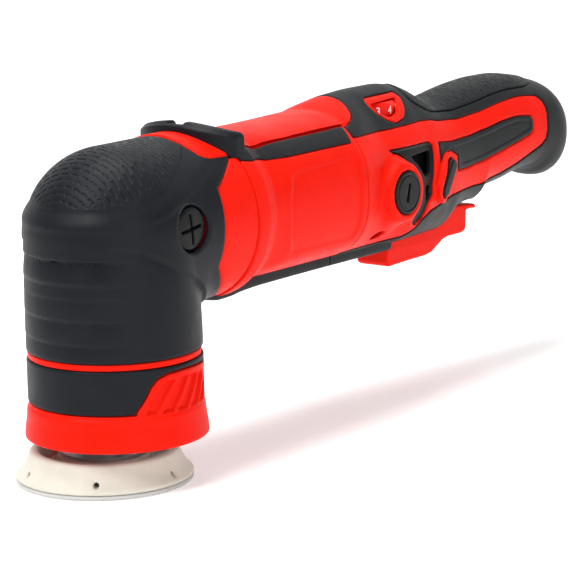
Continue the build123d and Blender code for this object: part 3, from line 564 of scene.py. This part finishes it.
TAIL_ROUND_X = 322.0
INLET_Z = 109.0                         # height of the lead's inlet
BELLY_END_X = 261.6                     # end of the rubber round the switch
RAIL_END_X = 188.2
TAIL_TIP_X = TAIL_X - 3.0               # the rubber is a little shorter than its housing


def body_surface(x, y, z):
    """Distance, measured outwards from the centre line, to the motor housing and handle."""
    bulge = np.sqrt(np.clip(1 - ((x - TAIL_ROUND_X) / (TAIL_TIP_X - TAIL_ROUND_X)).clip(0)**2.3, 1e-4, 1))
    waist = WAIST(x)
    dz = z - waist
    up = dz > 0
    height = np.where(up, TOP(x) - waist, waist - BOTTOM(x)) * bulge
    power = np.where(up, ROUND_UP(x), ROUND_DOWN(x))
    radius = np.sqrt(y * y + dz * dz) + 1e-6
    reach = (np.abs(y) / (HALF_W(x) * bulge))**power + (np.abs(dz) / height)**power
    reach = np.maximum(reach, 1e-9)**(1 / power)
    distance = radius * (1 - 1 / reach)
    return np.maximum(distance, x - TAIL_TIP_X)


SIDE_PANEL = Outline([(84, 124), (134, 126.5), (134, 86), (86, 86), (81, 96), (80, 112)], 3.0)
RED_FRAME = Outline([(120, 132.3), (149, 132), (172, 131.6), (202, 131.8), (212, 131), (219, 129.5),
                     (237, 128.2), (256, 129.5), (274, 131.8), (289, 133), (299, 132.5), (307.5, 131.4),
                     (311.4, 128.5), (313, 124.5), (312.8, 114), (311.6, 109.5), (308, 106.3), (299, 102.8),
                     (289, 99), (276, 95.6), (257, 93.4), (242, 93.4), (224, 93), (208, 90.4), (200, 89.2),
                     (193.5, 85.9), (190, 81.6), (184, 78.6), (172, 77.8), (120, 77.4)], 0.8)
INLAY = Outline([(210.7, 120.6), (225, 119.1), (243, 119.4), (261, 121.3), (274, 123.1), (286, 123.9),
                 (297.5, 122.8), (299.5, 121), (299.5, 115.4), (297, 113.6), (286, 111), (269, 107.9),
                 (256, 105.7), (240, 104.4), (229, 104.4), (229, 112), (222, 115.5), (214, 114),
                 (209, 110.4)], 0.5)
VENT = Outline([(165.5, 122.5), (201.7, 122.1), (205.1, 120.3), (204.6, 116.3), (202.2, 108),
                (200.1, 101.7), (200.3, 97.6), (196.7, 93.6), (194.6, 88.6), (190.9, 84.9), (188.3, 83.7),
                (184.5, 86.4), (186, 92), (186, 100), (180, 109), (173.7, 116), (168.2, 119.5)], 0.5)
VENT_WINDOWS = [Outline([(183.8, 117.5), (201.6, 118), (202.4, 116.8), (199.4, 107.6), (194.2, 106.5),
                         (192.2, 108.8), (188.8, 112.8), (185.4, 115.5)], 0.5),
                Outline([(194.6, 101.9), (198.4, 102.3), (198.2, 97.4), (195.6, 94.6), (195, 97.5)], 0.4)]
GRIP_PAD = Outline([(203, 160), (203, 142), (204.8, 139.5), (208.2, 137.4), (212.9, 135.1), (218.2, 133.7),
                    (224.4, 132.9), (236.2, 132.2), (252.2, 133.7), (269.4, 135.8), (283.5, 136.9),
                    (302.3, 136.5), (310, 137), (312.6, 139), (313, 143), (312, 160)], 0.8)
TONGUE = Outline(both_sides([(60, 22), (134.5, 22), (140.9, 22), (146.8, 19.9), (150.3, 17.5), (152.6, 14),
                             (154.5, 9), (155, 0)]), 1.0)
COLLAR_EDGE = curve((44, 140), (47, 138.2), (51, 135.5), (55, 133), (60, 132.2), (67, 131.8), (74, 130.6),
                    (90, 130.4), (140, 130.6))
SPINE = curve((42, 71.5), (48, 70.2), (58, 68.2), (66, 68.4), (74, 69.3), (90, 69.9), (120, 70), (190, 69.8))
BOSS_X, BOSS_Z = 167.0, 103.5
CAP_R = 10.1
BOSS_FACE = 37.4
BUTTON_X, BUTTON_Z = 212.6, 103.4
BUTTON_TILT = 35.0
BUTTON_FACE = 30.6


def shaped_body(x, y, z):
    """Body surface with the soft panel on the motor's flank."""
    surface = body_surface(x, y, z)
    surface = surface + 0.7 * (1 - ease(SIDE_PANEL(x, z), -2.2, 0.4)) * ease(np.abs(y), 10, 18)
    return surface


def slot_distance(x, z, half_length, half_width):
    """Distance to a slanted slot shape round the lock button's centre, in side view."""
    u, v = rotated(x - BUTTON_X, z - BUTTON_Z, -BUTTON_TILT)
    over = np.maximum(np.abs(v) - (half_length - half_width), 0)
    return np.sqrt(u * u + over * over) - half_width


def boss_shape(x, y, z):
    """Flared boss round the brush cap."""
    ay = np.abs(y)
    radius = np.sqrt((x - BOSS_X)**2 + (z - BOSS_Z)**2)
    flare = radius - 13.2 - 0.42 * (BOSS_FACE - ay)
    return smax(flare, ay - BOSS_FACE, 1.6)


def in_tongue(x, y, z):
    """Below zero under the red panel along the top."""
    return np.maximum(TONGUE(x, y), 120 - z)


def hump_region(x, y, z):
    """Below zero where the handle is covered by rubber: hump, top, tail and belly."""
    outside = -RED_FRAME(x, z)
    return smax(outside, -in_tongue(x, y, z), 0.8)


DIAL_BEZEL = Outline([(171.1, 145.3), (196, 145.5), (197.5, 142.8), (193.8, 138.1), (188.7, 134.6),
                      (180.2, 133.2), (174.5, 135.2), (170, 138.8), (168.6, 142), (169, 143.8)], 0.8)
DIAL_WINDOW = Outline([(170.7, 142.7), (193.4, 143.3), (191.6, 140.4), (187.3, 137.1), (180.4, 135.7),
                       (176.1, 136.6), (171.5, 139), (170.3, 141.1)], 0.5)


def pocket(region, surface, depth):
    """Space let into a surface for a flush piece, with a fine gap all round."""
    return np.maximum(region - 0.22, -(surface + depth))


def red_handle_field(x, y, z):
    """Both red handle halves, with the brush boss and the lock button's guard."""
    ay = np.abs(y)
    surface = shaped_body(x, y, z)
    boss = smax(boss_shape(x, y, z), 20 - ay, 1.0)
    body = smin(surface, boss, 2.4)
    body = smax(body, -pocket(hump_region(x, y, z), surface, LET_IN), 0.55)
    body = smax(body, -pocket(np.maximum(INLAY(x, z), 12 - ay), surface, LET_IN), 0.55)
    vent = np.maximum(VENT(x, z), 12 - ay)
    vent = np.maximum(vent, -boss_shape(x, y, z))
    body = smax(body, -(vent - 0.2), 0.6)
    guard = np.where(y < 0, slot_distance(x, z, 12.9, 6.4), 9.0)
    guard = smax(guard, surface - 2.2 - 1.0 * ease(BUTTON_X - x, -3, 5), 0.8)
    guard = np.maximum(guard, 16 - ay)
    body = smin(body, guard, 0.8)
    body = smax(body, -np.where(y < 0, np.maximum(slot_distance(x, z, 10.6, 4.1), 14 - ay), 9.0), 0.6)
    window = np.maximum(DIAL_WINDOW(x, z) - 1.5, 7 - ay)
    body = smax(body, -window, 0.5)
    bore = np.maximum(np.sqrt((x - BOSS_X)**2 + (z - BOSS_Z)**2) - CAP_R - 0.35, 30 - ay)
    body = smax(body, -bore, 0.5)
    slit = smax(np.hypot((x - 160) / 3.2, z - 83.5 - 0.12 * (x - 160)) - 1.6, 15 - ay, 0.4)
    body = smax(body, -slit, 0.5)
    body = smax(body, -trigger_slot(x, y, z), 0.8)
    body = smax(body, MOTOR_END_X + SEAM - x, 0.6)
    return np.maximum(body, -(surface + SHELL_T))


def trigger_slot(x, y, z):
    """Slot under the handle that the trigger moves in."""
    box = np.maximum(np.abs(y) - 10.4, np.maximum(188.4 - x, x - 267.4))
    return np.maximum(box, z - 90)


def skin_field(x, y, z):
    """Rubber over the hump, the top of the grip and the tail."""
    surface = shaped_body(x, y, z)
    region = hump_region(x, y, z)
    region = smax(region, -np.maximum(DIAL_BEZEL(x, z) - 0.15, 7 - np.abs(y)), 0.7)
    belly = smax(x - BELLY_END_X, z - 104, 1.0)
    region = smax(region, -belly, 0.3)
    body = smax(surface - PROUD, region, 0.9)
    body = smax(body, -pocket(np.maximum(GRIP_PAD(x, z), 100 - z), surface, 0.5), 0.4)
    body = smax(body, MOTOR_END_X + SEAM - x, 0.7)
    inlet = np.maximum(np.sqrt(y * y + (z - INLET_Z)**2) - 8.2, 330 - x)
    body = smax(body, -inlet, 1.0)
    return np.maximum(body, -(surface + RUBBER_T))


def belly_field(x, y, z):
    """Hard-wearing rubber round the switch housing, open below for the trigger."""
    surface = shaped_body(x, y, z)
    region = hump_region(x, y, z)
    body = smax(surface - PROUD, region, 0.9)
    body = smax(body, smax(x - BELLY_END_X + 0.2, z - 104, 1.0), 0.5)
    body = np.maximum(body, -(surface + RUBBER_T))
    rail = smax(rail_shape(x, y, z), x - RAIL_END_X, 1.0)
    body = smin(body, np.maximum(rail, z - 80), 0.6)
    body = smax(body, -trigger_slot(x, y, z), 0.7)
    return smax(body, MOTOR_END_X + SEAM - x, 0.5)


def grip_dashes(x, y, z):
    """Staggered short grooves across the top of the grip."""
    row = np.floor(x / 3.3)
    wrap = np.arctan2(y, z - 112) * 24.0
    across = wrap / 6.0 + 0.5 * np.mod(row, 2) + 0.12 * np.sin(row * 1.9)
    in_dash = np.abs(across - np.round(across)) * 2
    in_row = x / 3.3 - row
    groove = np.clip(1 - np.abs(in_row - 0.5 - 0.14 * (0.5 - in_dash)) / 0.17, 0, 1)
    return ease(groove, 0, 1) * (1 - ease(in_dash, 0.6, 0.86))


def grip_pad_field(x, y, z):
    """Textured pad let into the top of the grip."""
    surface = body_surface(x, y, z)
    region = np.maximum(GRIP_PAD(x, z) + 0.12, 120 - z)
    dashes = grip_dashes(x, y, z) * ease(-GRIP_PAD(x, z), 1.6, 2.6)
    body = smax(surface - 0.95 + 0.6 * dashes, region, 1.2)
    return np.maximum(body, -(surface + 0.45))


def cap_field(x, y, z):
    """The textured cap of the boot as a finer piece of its own."""
    surface = boot_surface(x, y, z)
    edge = cap_edge(x, y, z)
    dashes = cap_dashes(x, y, z) * ease(edge, 4.2, 5.4)
    body = smax(surface - 0.12 + 0.55 * dashes, 3.2 - edge, 0.6)
    body = smax(body, 1.2 - PATCH(x, y), 0.5)
    body = smax(body, x - 32, 0.5)
    return np.maximum(body, -(surface + 1.2))


def inlay_field(x, y, z):
    """Black inlay in the handle's red side frame."""
    surface = body_surface(x, y, z)
    region = INLAY(x, z) + 0.2
    guard = np.where(y < 0, slot_distance(x, z, 13.1, 6.6), 9.0)
    region = smax(region, -guard, 0.6)
    fold = 0.45 * bump(INLAY(x, z), -2.6, 0.9) * ease(z, 119, 123) + 0.3 * ease(-INLAY(x, z), 2.2, 3.0)
    body = smax(surface - 0.1 + fold, region, 0.7)
    return np.maximum(body, -(surface + RUBBER_T))


def grille_field(x, y, z):
    """Black insert behind the brush boss with its air inlets."""
    surface = body_surface(x, y, z)
    boss = boss_shape(x, y, z)
    region = np.maximum(VENT(x, z) + 0.1, -(boss - 0.25))
    lip = 0.7 * (1 - ease(-VENT(x, z), 0.2, 1.6))
    body = smax(surface + 1.5 - lip, region, 0.5)
    for window in VENT_WINDOWS:
        body = smax(body, -window(x, z), 0.5)
    return np.maximum(body, -(surface + 4.2))


def screen_field(x, y, z):
    """Painted shade: a near-black sheet 6 to 7.4 mm inside the surface behind the air inlets, standing in for
    the shaded inside.
    """
    surface = body_surface(x, y, z)
    return np.maximum(np.maximum(surface + 6.0, -(surface + 7.4)), VENT(x, z) - 1.5)


def brush_cap_field(x, y, z):
    """Round screwed cap over a carbon brush."""
    ay = np.abs(y)
    radius = np.sqrt((x - BOSS_X)**2 + (z - BOSS_Z)**2)
    cap = smax(radius - CAP_R, ay - BOSS_FACE - 0.5, 0.9)
    ring = np.maximum(np.maximum(radius - 8.6, 7.9 - radius), BOSS_FACE + 0.1 - ay)
    cap = smax(cap, -ring, 0.4)
    u, v = rotated(x - BOSS_X, z - BOSS_Z, -14)
    slot = np.maximum(np.maximum(np.abs(u) - 0.85, np.abs(v) - 4.4), BOSS_FACE - 1.4 - ay)
    cap = smax(cap, -slot, 0.4)
    return np.maximum(cap, BOSS_FACE - 5 - ay)


def bezel_field(x, y, z):
    """Red frame round the thumbwheel's window."""
    surface = body_surface(x, y, z)
    body = smax(surface - 0.3, DIAL_BEZEL(x, z) + 0.15, 0.8)
    body = smax(body, -DIAL_WINDOW(x, z), 0.8)
    return np.maximum(body, -(surface + 2.0))


def button_field(x, y, z):
    """Lock button: slanted, proud of its guard, with a sloping face."""
    slot = slot_distance(x, z, 9.8, 3.4)
    face = -BUTTON_FACE - 0.10 * (BUTTON_X + 2 - x)
    body = smax(slot, face - y, 1.6)
    return np.maximum(body, y + 18.5)


TRIGGER_SIDE = Outline([(189, 79.5), (189, 63.6), (190, 62.2), (192, 61.4), (207.8, 61.8), (223.2, 62),
                        (228.4, 62.9), (233.7, 65.8), (237.5, 67.8), (241.5, 68.5), (253.6, 68.5),
                        (256.2, 69.2), (257.3, 71), (257.8, 79.2), (262, 79.6), (265.6, 79.2), (267, 80.2),
                        (265.2, 81.6), (257, 82.4), (247, 83.4), (238, 82), (230, 77), (206, 76.5),
                        (202, 83), (192, 83)], 0.4)
TRIGGER_TAB = Outline([(229, 88.8), (234, 88.8), (237, 80), (226, 76)], 0.5)


def trigger_field(x, y, z):
    """Paddle trigger with its tab."""
    ay = np.abs(y)
    narrow = 9.5 - 0.5 * ease(70 - z, 0, 6)
    body = smax(TRIGGER_SIDE(x, z), ay - narrow, 1.6)
    tab = smax(TRIGGER_TAB(x, z), ay - 4, 0.6)
    return smin(body, tab, 0.8)


def motor_field(x, y, z):
    """Red motor housing between the head and the handle."""
    surface = shaped_body(x, y, z)
    body = smax(surface, -pocket(collar_region(x, y, z), surface, LET_IN), 0.6)
    body = smax(body, -pocket(in_tongue(x, y, z) - 0.1, surface, LET_IN), 0.5)
    body = smax(body, HEAD_END_X + SEAM - x, 0.6)
    body = smax(body, x - MOTOR_END_X + SEAM, 0.6)
    return np.maximum(body, -(surface + SHELL_T))


def collar_region(x, y, z):
    """Below zero on the rubber collar behind the bridge and its two rails."""
    region = smax(COLLAR_EDGE(x) - z, x - 135.5 - 0.35 * (z - 134), 0.8)
    region = smax(region, -(in_tongue(x, y, z) - 0.2), 0.8)
    return region


def collar_field(x, y, z):
    """Rubber collar behind the head."""
    surface = body_surface(x, y, z)
    body = smax(surface - PROUD, collar_region(x, y, z), 0.9)
    body = smax(body, COLLAR_X + 0.1 - x, 0.4)
    return np.maximum(body, -(surface + RUBBER_T))


def top_panel_field(x, y, z):
    """Red panel along the top of the motor."""
    surface = body_surface(x, y, z)
    body = smax(surface - 0.25, in_tongue(x, y, z) + 0.1, 0.8)
    return np.maximum(body, -(surface + RUBBER_T))


def bridge_field(x, y, z):
    """Raised arch across the neck, with rounded ends and a notch in the middle."""
    ay = np.abs(y)
    front = 41.8 + 8.5 * (ay / 25.0)**3
    back = x - front
    notch = 1.7 * (1 - ease(ay, 3.8, 5.0)) * ease(back, 1.5, 3.0)
    crest = (149.4 - 0.0068 * y * y - 1.4 * (1 - ease(back, 0.5, 3.5)) - notch
             - 0.14 * np.maximum(back - 6, 0)**1.5)
    body = smax(z - crest, -back, 1.2)
    body = smax(body, back - 9.0, 1.5)
    body = smax(body, ay - 26.5, 2.2)
    body = smax(body, AXIS_Z + 15 - z, 1.0)
    return np.maximum(body, 36.6 - np.sqrt(y * y + (z - AXIS_Z)**2))


def rail_shape(x, y, z):
    """Long rounded rail under the tool."""
    return smax(SPINE(x) - z + 0.006 * y * y, np.abs(y) - 13.0, 2.5)


def spine_field(x, y, z):
    """Rubber rail under the neck and motor."""
    body = smax(rail_shape(x, y, z), z - 78.0, 1.0)
    body = smax(body, 42.0 - x, 1.5)
    body = smax(body, x - MOTOR_END_X + SEAM, 0.5)
    return body


# ---------------------------------------------------------------- shroud and pad
VENT_PANEL = Outline([(-128, 30), (-126, 37.2), (-122.5, 40), (-119, 43.4), (-116, 47), (-111, 50.2),
                      (-104, 51.8), (-90, 52.3), (-78, 52.1), (-60, 51.6), (-52, 49), (-46, 43), (-40, 37),
                      (-38, 30)], 1.0)
RECESS = Outline([(-121, 35.2), (-118, 38.6), (-110.5, 47), (-104, 49.2), (-88, 49.8), (-64, 48.6), (-57, 45),
                  (-51, 37), (-53, 34.8)], 0.8)


def ring_coordinates(x, y, z):
    """Angle in degrees round the head, mirrored so both sides read -180 to 0, and radius."""
    return -np.degrees(np.arctan2(np.abs(y), x)), np.hypot(x, y)


def panel_distance(outline, angle, z):
    """Outline drawn in degrees and mm, with degrees counted as 0.66 mm."""
    return outline(angle, z) * 0.75


SKIRT = curve((18, 39.7), (20, 39.7), (24, 39.4), (29, 38.7), (33.2, 38.3), (34.6, 37.5), (40, 37.4),
              (56, 37.4))


def shroud_field(x, y, z):
    """Red guard round the pad's drive, with louvred panels."""
    angle, radius = ring_coordinates(x, y, z)
    panel = panel_distance(VENT_PANEL, angle, z)
    recess = panel_distance(RECESS, angle, z)
    rim = 1 - ease(panel, -0.5, 0.5)
    outer = SKIRT(z) + 0.5 * rim * ease(z, 33, 36)
    body = radius - outer
    body = np.where(z > 35.6, np.maximum(body, np.where(panel < 0.1, body, radius - 36.0)), body)
    body = smax(body, -pocket(smax(-panel, 35.8 - z, 0.4), radius - 37.4, 1.4), 0.5)
    fins = fin_pattern(angle, z)
    depth = 1.5 * (1 - ease(recess, -1.0, 0.3)) * fins
    body = body + depth
    body = smax(body, 20.0 - z, 1.0)
    body = smax(body, z - 54.9, 0.5)
    return np.maximum(body, 34.6 - radius)


def fin_pattern(angle, z):
    """1 in the slanted hollows, 0 on the flat fins between them."""
    along = (angle + 121 - 1.02 * (z - 35)) / 12.6
    part = along - np.floor(along)
    return 1 - ease(part, 0.62, 0.74) + ease(part, 0.90, 1.0)


def band_field(x, y, z):
    """Soft bumper round the shroud, with the vent panels cut out of it."""
    angle, radius = ring_coordinates(x, y, z)
    panel = panel_distance(VENT_PANEL, angle, z)
    body = smax(radius - 37.95, 36.0 - z, 0.9)
    body = smax(body, z - 54.8, 0.9)
    body = smax(body, -(panel - 0.25), 0.9)
    return np.maximum(body, 36.1 - radius)


def trim_height(angle):
    """Height of the red line's middle; it turns up behind the vent panels."""
    return 56.4 + 7.0 * ease(angle, -64, -44)


def trim_field(x, y, z):
    """Thin red line between boot and bumper."""
    angle, radius = ring_coordinates(x, y, z)
    half = 1.35 - 0.9 * ease(angle, -66, -46)
    body = smax(radius - 37.5, np.abs(z - trim_height(angle)) - half, 0.7)
    return np.maximum(body, 35.0 - radius)


PAD_SECTION = Outline([(4.0, 1.7), (37.8, 1.7), (38.6, 2.4), (38.3, 3.4), (36.8, 4.8), (35.2, 6.8),
                       (33.9, 9), (33.0, 11.2), (32.4, 13), (31.4, 13.8), (29.0, 13.8), (28.0, 13),
                       (27.0, 9.6), (25.8, 7.6), (21, 7.0), (20.0, 11.4), (4.0, 11.4)], 0.35)


def pad_centre():
    """Where the pad stands at rest, off the spindle's axis."""
    low, high = node_box("backing_plate")
    return (low[0] + high[0]) / 2, (low[1] + high[1]) / 2


PAD_X, PAD_Y = pad_centre()
VENT_FIRST = 215.0


def pad_field(x, y, z):
    """Urethane pad with six side vents."""
    px, py = x - PAD_X, y - PAD_Y
    radius = np.hypot(px, py)
    body = PAD_SECTION(radius, z)
    for i in range(6):
        a = math.radians(VENT_FIRST + 60 * i)
        side = -px * math.sin(a) + py * math.cos(a)
        ahead = px * math.cos(a) + py * math.sin(a)
        hole = np.maximum(np.hypot(side, z - 5.6) - 1.25, 26 - ahead)
        body = smax(body, -hole, 0.5)
    return body


def hook_field(x, y, z):
    """Hook sheet with a slightly ragged edge."""
    px, py = x - PAD_X, y - PAD_Y
    radius = np.hypot(px, py)
    turn = np.arctan2(py, px)
    ragged = 0.12 * np.sin(turn * 97) + 0.10 * np.sin(turn * 61 + 1) + 0.08 * np.sin(turn * 151 + 2)
    edge = 38.35 + ragged * (1 - z / 1.9)
    body = smax(radius - edge, np.abs(z - 0.8) - 0.8, 0.35)
    return np.maximum(body, 5.3 - radius)


# ---------------------------------------------------------------- thumbwheel and gland
DIAL_LOW, DIAL_HIGH = node_box("speed_dial")
DIAL_X = (DIAL_LOW[0] + DIAL_HIGH[0]) / 2
DIAL_R = (DIAL_HIGH[0] - DIAL_LOW[0]) / 2
DIAL_TOP = DIAL_HIGH[2] + 1.4           # the rim carries on above the wheel's disc
DIAL_HEIGHT = 9.4
NUMERAL_Z = DIAL_TOP - 3.9
NUMERAL_STEP = 27.0                    # degrees between numbers: 1 to 6 over 135 degrees
NUMERAL_AT_REST = 4


def dial_field(x, y, z):
    """Wheel with a knurled band below the numbers."""
    radius = np.hypot(x - DIAL_X, y)
    turn = np.arctan2(y, x - DIAL_X)
    middle = DIAL_TOP - DIAL_HEIGHT / 2
    band = ease(middle - z, 2.9, 3.2)
    notch = 0.5 * np.clip(np.cos(turn * 40), 0, 1) * band
    sloped = 0.8 * np.maximum(z - DIAL_TOP + 1.8, 0)
    body = smax(radius - DIAL_R + notch + sloped, np.abs(z - middle) - DIAL_HEIGHT / 2, 0.5)
    hollow = np.maximum(np.maximum(radius - DIAL_R + 3, 5 - radius), z - DIAL_TOP + 2)
    return np.maximum(body, -hollow)


def wrapped_numeral(number, turn):
    """Mesh points and faces of one number wrapped on the wheel's rim, its middle at angle turn."""
    text = bpy.data.curves.new("numeral", "FONT")
    text.body = number
    text.size = 5.2
    text.extrude = 0.12
    text.align_x = "CENTER"
    text.align_y = "CENTER"
    holder = bpy.data.objects.new("numeral", text)
    mesh = bpy.data.meshes.new_from_object(holder)
    points = []
    for vertex in mesh.vertices:
        u, v, w = vertex.co
        angle = turn + u / DIAL_R
        points.append((DIAL_X + (DIAL_R + w) * math.cos(angle), (DIAL_R + w) * math.sin(angle),
                       NUMERAL_Z + v))
    faces = [list(face.vertices) for face in mesh.polygons]
    bpy.data.objects.remove(holder)
    return points, faces


def add_numerals():
    """Numbers 1 to 6 twice round the wheel, one set for each window, readable from outside."""
    points, faces = [], []
    for window in (-90, 90):
        for number in range(1, 7):
            turn = math.radians(window + NUMERAL_STEP * (number - NUMERAL_AT_REST))
            more_points, more_faces = wrapped_numeral(str(number), turn)
            faces += [[len(points) + k for k in face] for face in more_faces]
            points += more_points
    add_piece("dial_numerals", points, faces, "speed_dial", [], WHITE_INK)


def gland_field(x, y, z):
    """Rubber sleeve in the tail with grooves and the hole for the lead."""
    radius = np.hypot(y, z - INLET_Z)
    ribs = 0.5 * np.clip(np.cos((x - 338) * 2 * math.pi / 3.2), 0, 1)
    body = smax(radius - 8.0 + ribs * ease(x, 338, 341), x - TAIL_X + 0.3, 1.2)
    body = smax(body, 334 - x, 0.6)
    return smax(body, 4.1 - radius, 1.0)


# ---------------------------------------------------------------- pieces
def build_head():
    """Boot, housing, plugs and bridge."""
    sculpt("boot", boot_field, (-42, -42, 56), (50, 42, 152), 0.85, ["head_boot"], BOOT)
    sculpt("boot_cap", cap_field, (-36, -38, 112), (34, 38, 148), 0.5, ["head_boot"], BOOT)
    sculpt("head_shell", red_head_field, (-42, -42, 56), (56, 42, 152), 1.0,
           ["head_housing", "gear_casting"], RED)
    sculpt("plugs", plug_field, (-2, 28, 98), (22, 40, 123), 0.4,
           ["side_plugs"], BLACK, mirror=True)
    sculpt("neck_bridge", bridge_field, (39, -29, 118), (64, 29, 152), 0.5, ["bridge"], BOOT)


def build_motor():
    """Motor housing with its rubber and top panel."""
    sculpt("motor_case", motor_field, (52, -42, 64), (140, 42, 150), 0.9,
           ["motor_housing"], RED)
    sculpt("collar", collar_field, (45, -42, 126), (140, 42, 150), 0.6,
           ["side_strips"], RUBBER)
    sculpt("top_cover", top_panel_field, (50, -20, 126), (166, 20, 152), 0.7,
           ["top_panel"], RED)
    sculpt("spine", spine_field, (40, -17, 62), (140, 17, 82), 0.7, ["belly_spine"], RUBBER)


def build_handle():
    """Handle halves and everything fixed to them."""
    sculpt("handle_case", red_handle_field, (136, -42, 70), (356, 42, 152), 1.0,
           ["handle_left", "handle_right"], RED)
    sculpt("handle_rubber", skin_field, (136, -38, 80), (356, 38, 152), 0.8,
           ["grip_skin"], RUBBER)
    sculpt("grip_pad", grip_pad_field, (201, -30, 124), (316, 30, 150), 0.5, [], RUBBER)
    sculpt("belly_rubber", belly_field, (136, -38, 68), (269, 38, 106), 0.6,
           ["belly_skin"], RUBBER)
    sculpt("inlays", inlay_field, (206, 8, 102), (302, 34, 128), 0.5,
           ["side_inlay_left", "side_inlay_right"], RUBBER, mirror=True)
    sculpt("vent_inserts", grille_field, (162, 12, 80), (208, 42, 126), 0.45,
           ["vent_grille_left", "vent_grille_right"], BLACK, mirror=True)
    # painted shade: near-black sheet behind the air inlets in place of the shaded inside
    sculpt("vent_painted_shade", screen_field, (162, 8, 80), (208, 42, 126), 0.9,
           [], PAINTED_SHADE, mirror=True)
    sculpt("brush_plugs", brush_cap_field, (154, 30, 90), (180, 42, 118), 0.4,
           ["brush_caps"], BLACK, mirror=True)
    sculpt("bezels", bezel_field, (165, 8, 129), (201, 30, 149), 0.4,
           ["dial_bezels"], RED, mirror=True)
    sculpt("tail_sleeve", gland_field, (332, -11, 98), (354, 11, 120), 0.4,
           ["cord_gland"], RUBBER)


def build_controls():
    """Lock button, trigger and speed dial."""
    sculpt("lock_knob", button_field, (206, -36, 90), (228, -17, 118), 0.4,
           ["lock_button"], BLACK, body="lock_button")
    sculpt("trigger_lever", trigger_field, (186, -12, 59), (269, 12, 91), 0.45,
           ["trigger"], RED, body="trigger")
    sculpt("thumbwheel", dial_field, (DIAL_X - 17, -17, 131), (DIAL_X + 17, 17, 144), 0.4,
           ["speed_dial"], DIAL_RED, body="speed_dial")
    add_numerals()


def build_shroud():
    """Shroud, bumper and trim."""
    sculpt("skirt", shroud_field, (-42, -42, 18), (42, 42, 57), 0.65, ["shroud"], RED)
    sculpt("bumper", band_field, (-42, -42, 34), (42, 42, 57), 0.6, ["shroud_band"], BOOT)
    sculpt("red_line", trim_field, (-42, -42, 53), (42, 42, 67), 0.5, ["trim_ring"], RED)


def build_pad():
    """Backing pad and hook sheet."""
    edge = HEAD_R + 2
    sculpt("pad", pad_field, (PAD_X - edge, PAD_Y - edge, 0), (PAD_X + edge, PAD_Y + edge, 15), 0.7,
           ["backing_plate"], CREAM, body="pad")
    sculpt("hooks", hook_field, (PAD_X - edge, PAD_Y - edge, -1), (PAD_X + edge, PAD_Y + edge, 3), 0.8,
           ["hook_layer"], HOOKS, body="pad")


def dress_cad_nodes():
    """Gives the CAD nodes that stay in view the material of their slot."""
    finishes = {
        "red_plastic": RED, "dial_plastic": DIAL_RED, "black_rubber": RUBBER, "black_plastic": BLACK,
        "fan_plastic": FAN, "pad_urethane": CREAM, "hook_nylon": HOOKS, "cast_aluminium": ALLOY,
        "steel": STEEL, "laminations": IRON, "copper": COPPER,
        "brass": BRASS, "carbon": CARBON, "circuit_board": BOARD,
    }
    for subpart in frame["record"]["subparts"]:
        piece = frame["nodes"][subpart["node"]]
        for material_slot in piece.material_slots:
            material_slot.material = finishes[subpart["material_slot"]]


# ---------------------------------------------------------------- floor and light
def plain_material(name, colour, roughness, glow):
    """Matt material that also glows a little."""
    material = bpy.data.materials.new(name)
    material.use_nodes = True
    set_inputs(material.node_tree.nodes["Principled BSDF"],
               {"Base Color": (*colour, 1), "Roughness": roughness, "Specular IOR Level": 0.2,
                "Emission Color": (1, 1, 1, 1), "Emission Strength": glow})
    return material


FLOOR_Z = -0.4
FLOOR_FRONT, FLOOR_REAR = -3.0, 2.2         # metres along the view
BACKDROP_ROUND, BACKDROP_TOP = 1.2, 4.0
FLOOR_HALF_W = 5.0


def add_floor():
    """Pale floor that curves up into a backdrop behind the tool."""
    profile = [(FLOOR_FRONT, 0.0), (FLOOR_REAR, 0.0)]
    for i in range(1, 13):
        turn = math.radians(90 * i / 12)
        profile.append((FLOOR_REAR + BACKDROP_ROUND * math.sin(turn), BACKDROP_ROUND * (1 - math.cos(turn))))
    profile.append((FLOOR_REAR + BACKDROP_ROUND, BACKDROP_TOP))
    azimuth = math.radians(CAMERA_AZIMUTH)
    ahead = (math.sin(azimuth), math.cos(azimuth))
    points = []
    for along, height in profile:
        for across in (-FLOOR_HALF_W, FLOOR_HALF_W):
            points.append((along * ahead[0] + across * ahead[1],
                           along * ahead[1] - across * ahead[0], height))
    faces = [(2 * i, 2 * i + 1, 2 * i + 3, 2 * i + 2) for i in range(len(profile) - 1)]
    mesh = bpy.data.meshes.new("floor")
    mesh.from_pydata(points, [], faces)
    mesh.shade_smooth()
    mesh.materials.append(plain_material("floor", (0.92, 0.92, 0.92), 0.9, glow=0.27))
    floor = new_object("floor", mesh)
    floor.location.z = FLOOR_Z * MM


def add_light(name, place, target, size, power):
    """Square soft box at place, in metres, pointing at target."""
    data = bpy.data.lights.new(name, "AREA")
    data.shape = "RECTANGLE"
    data.size, data.size_y = size
    data.energy = power
    light = new_object(name, data)
    light.location = place
    aim = Vector(target) - Vector(place)
    light.rotation_euler = aim.to_track_quat("-Z", "Y").to_euler()


def add_sun(strength, toward, softness):
    """Broad distant light that shines along the given direction."""
    data = bpy.data.lights.new("sun", "SUN")
    data.energy = strength
    data.angle = math.radians(softness)
    light = new_object("sun", data)
    light.rotation_euler = Vector(toward).to_track_quat("-Z", "Y").to_euler()


def add_lights():
    """Sun, two soft boxes and a pale world."""
    middle = (0.14, 0.0, 0.10)
    add_sun(1.9, (0.62, -0.10, -0.78), 24)
    add_light("top", (0.10, 0.15, 1.30), middle, (1.0, 0.6), 13.0)
    add_light("fill", (-0.55, -1.45, 0.75), middle, (1.0, 1.2), 8.5)
    world = bpy.data.worlds.new("studio")
    world.use_nodes = True
    set_inputs(world.node_tree.nodes["Background"], {"Color": (1, 1, 1, 1), "Strength": 0.35})
    bpy.context.scene.world = world
    bpy.context.scene.view_settings.view_transform = "Standard"


build_head()
build_motor()
build_handle()
build_controls()
build_shroud()
build_pad()
dress_cad_nodes()
add_floor()
add_lights()
add_camera()
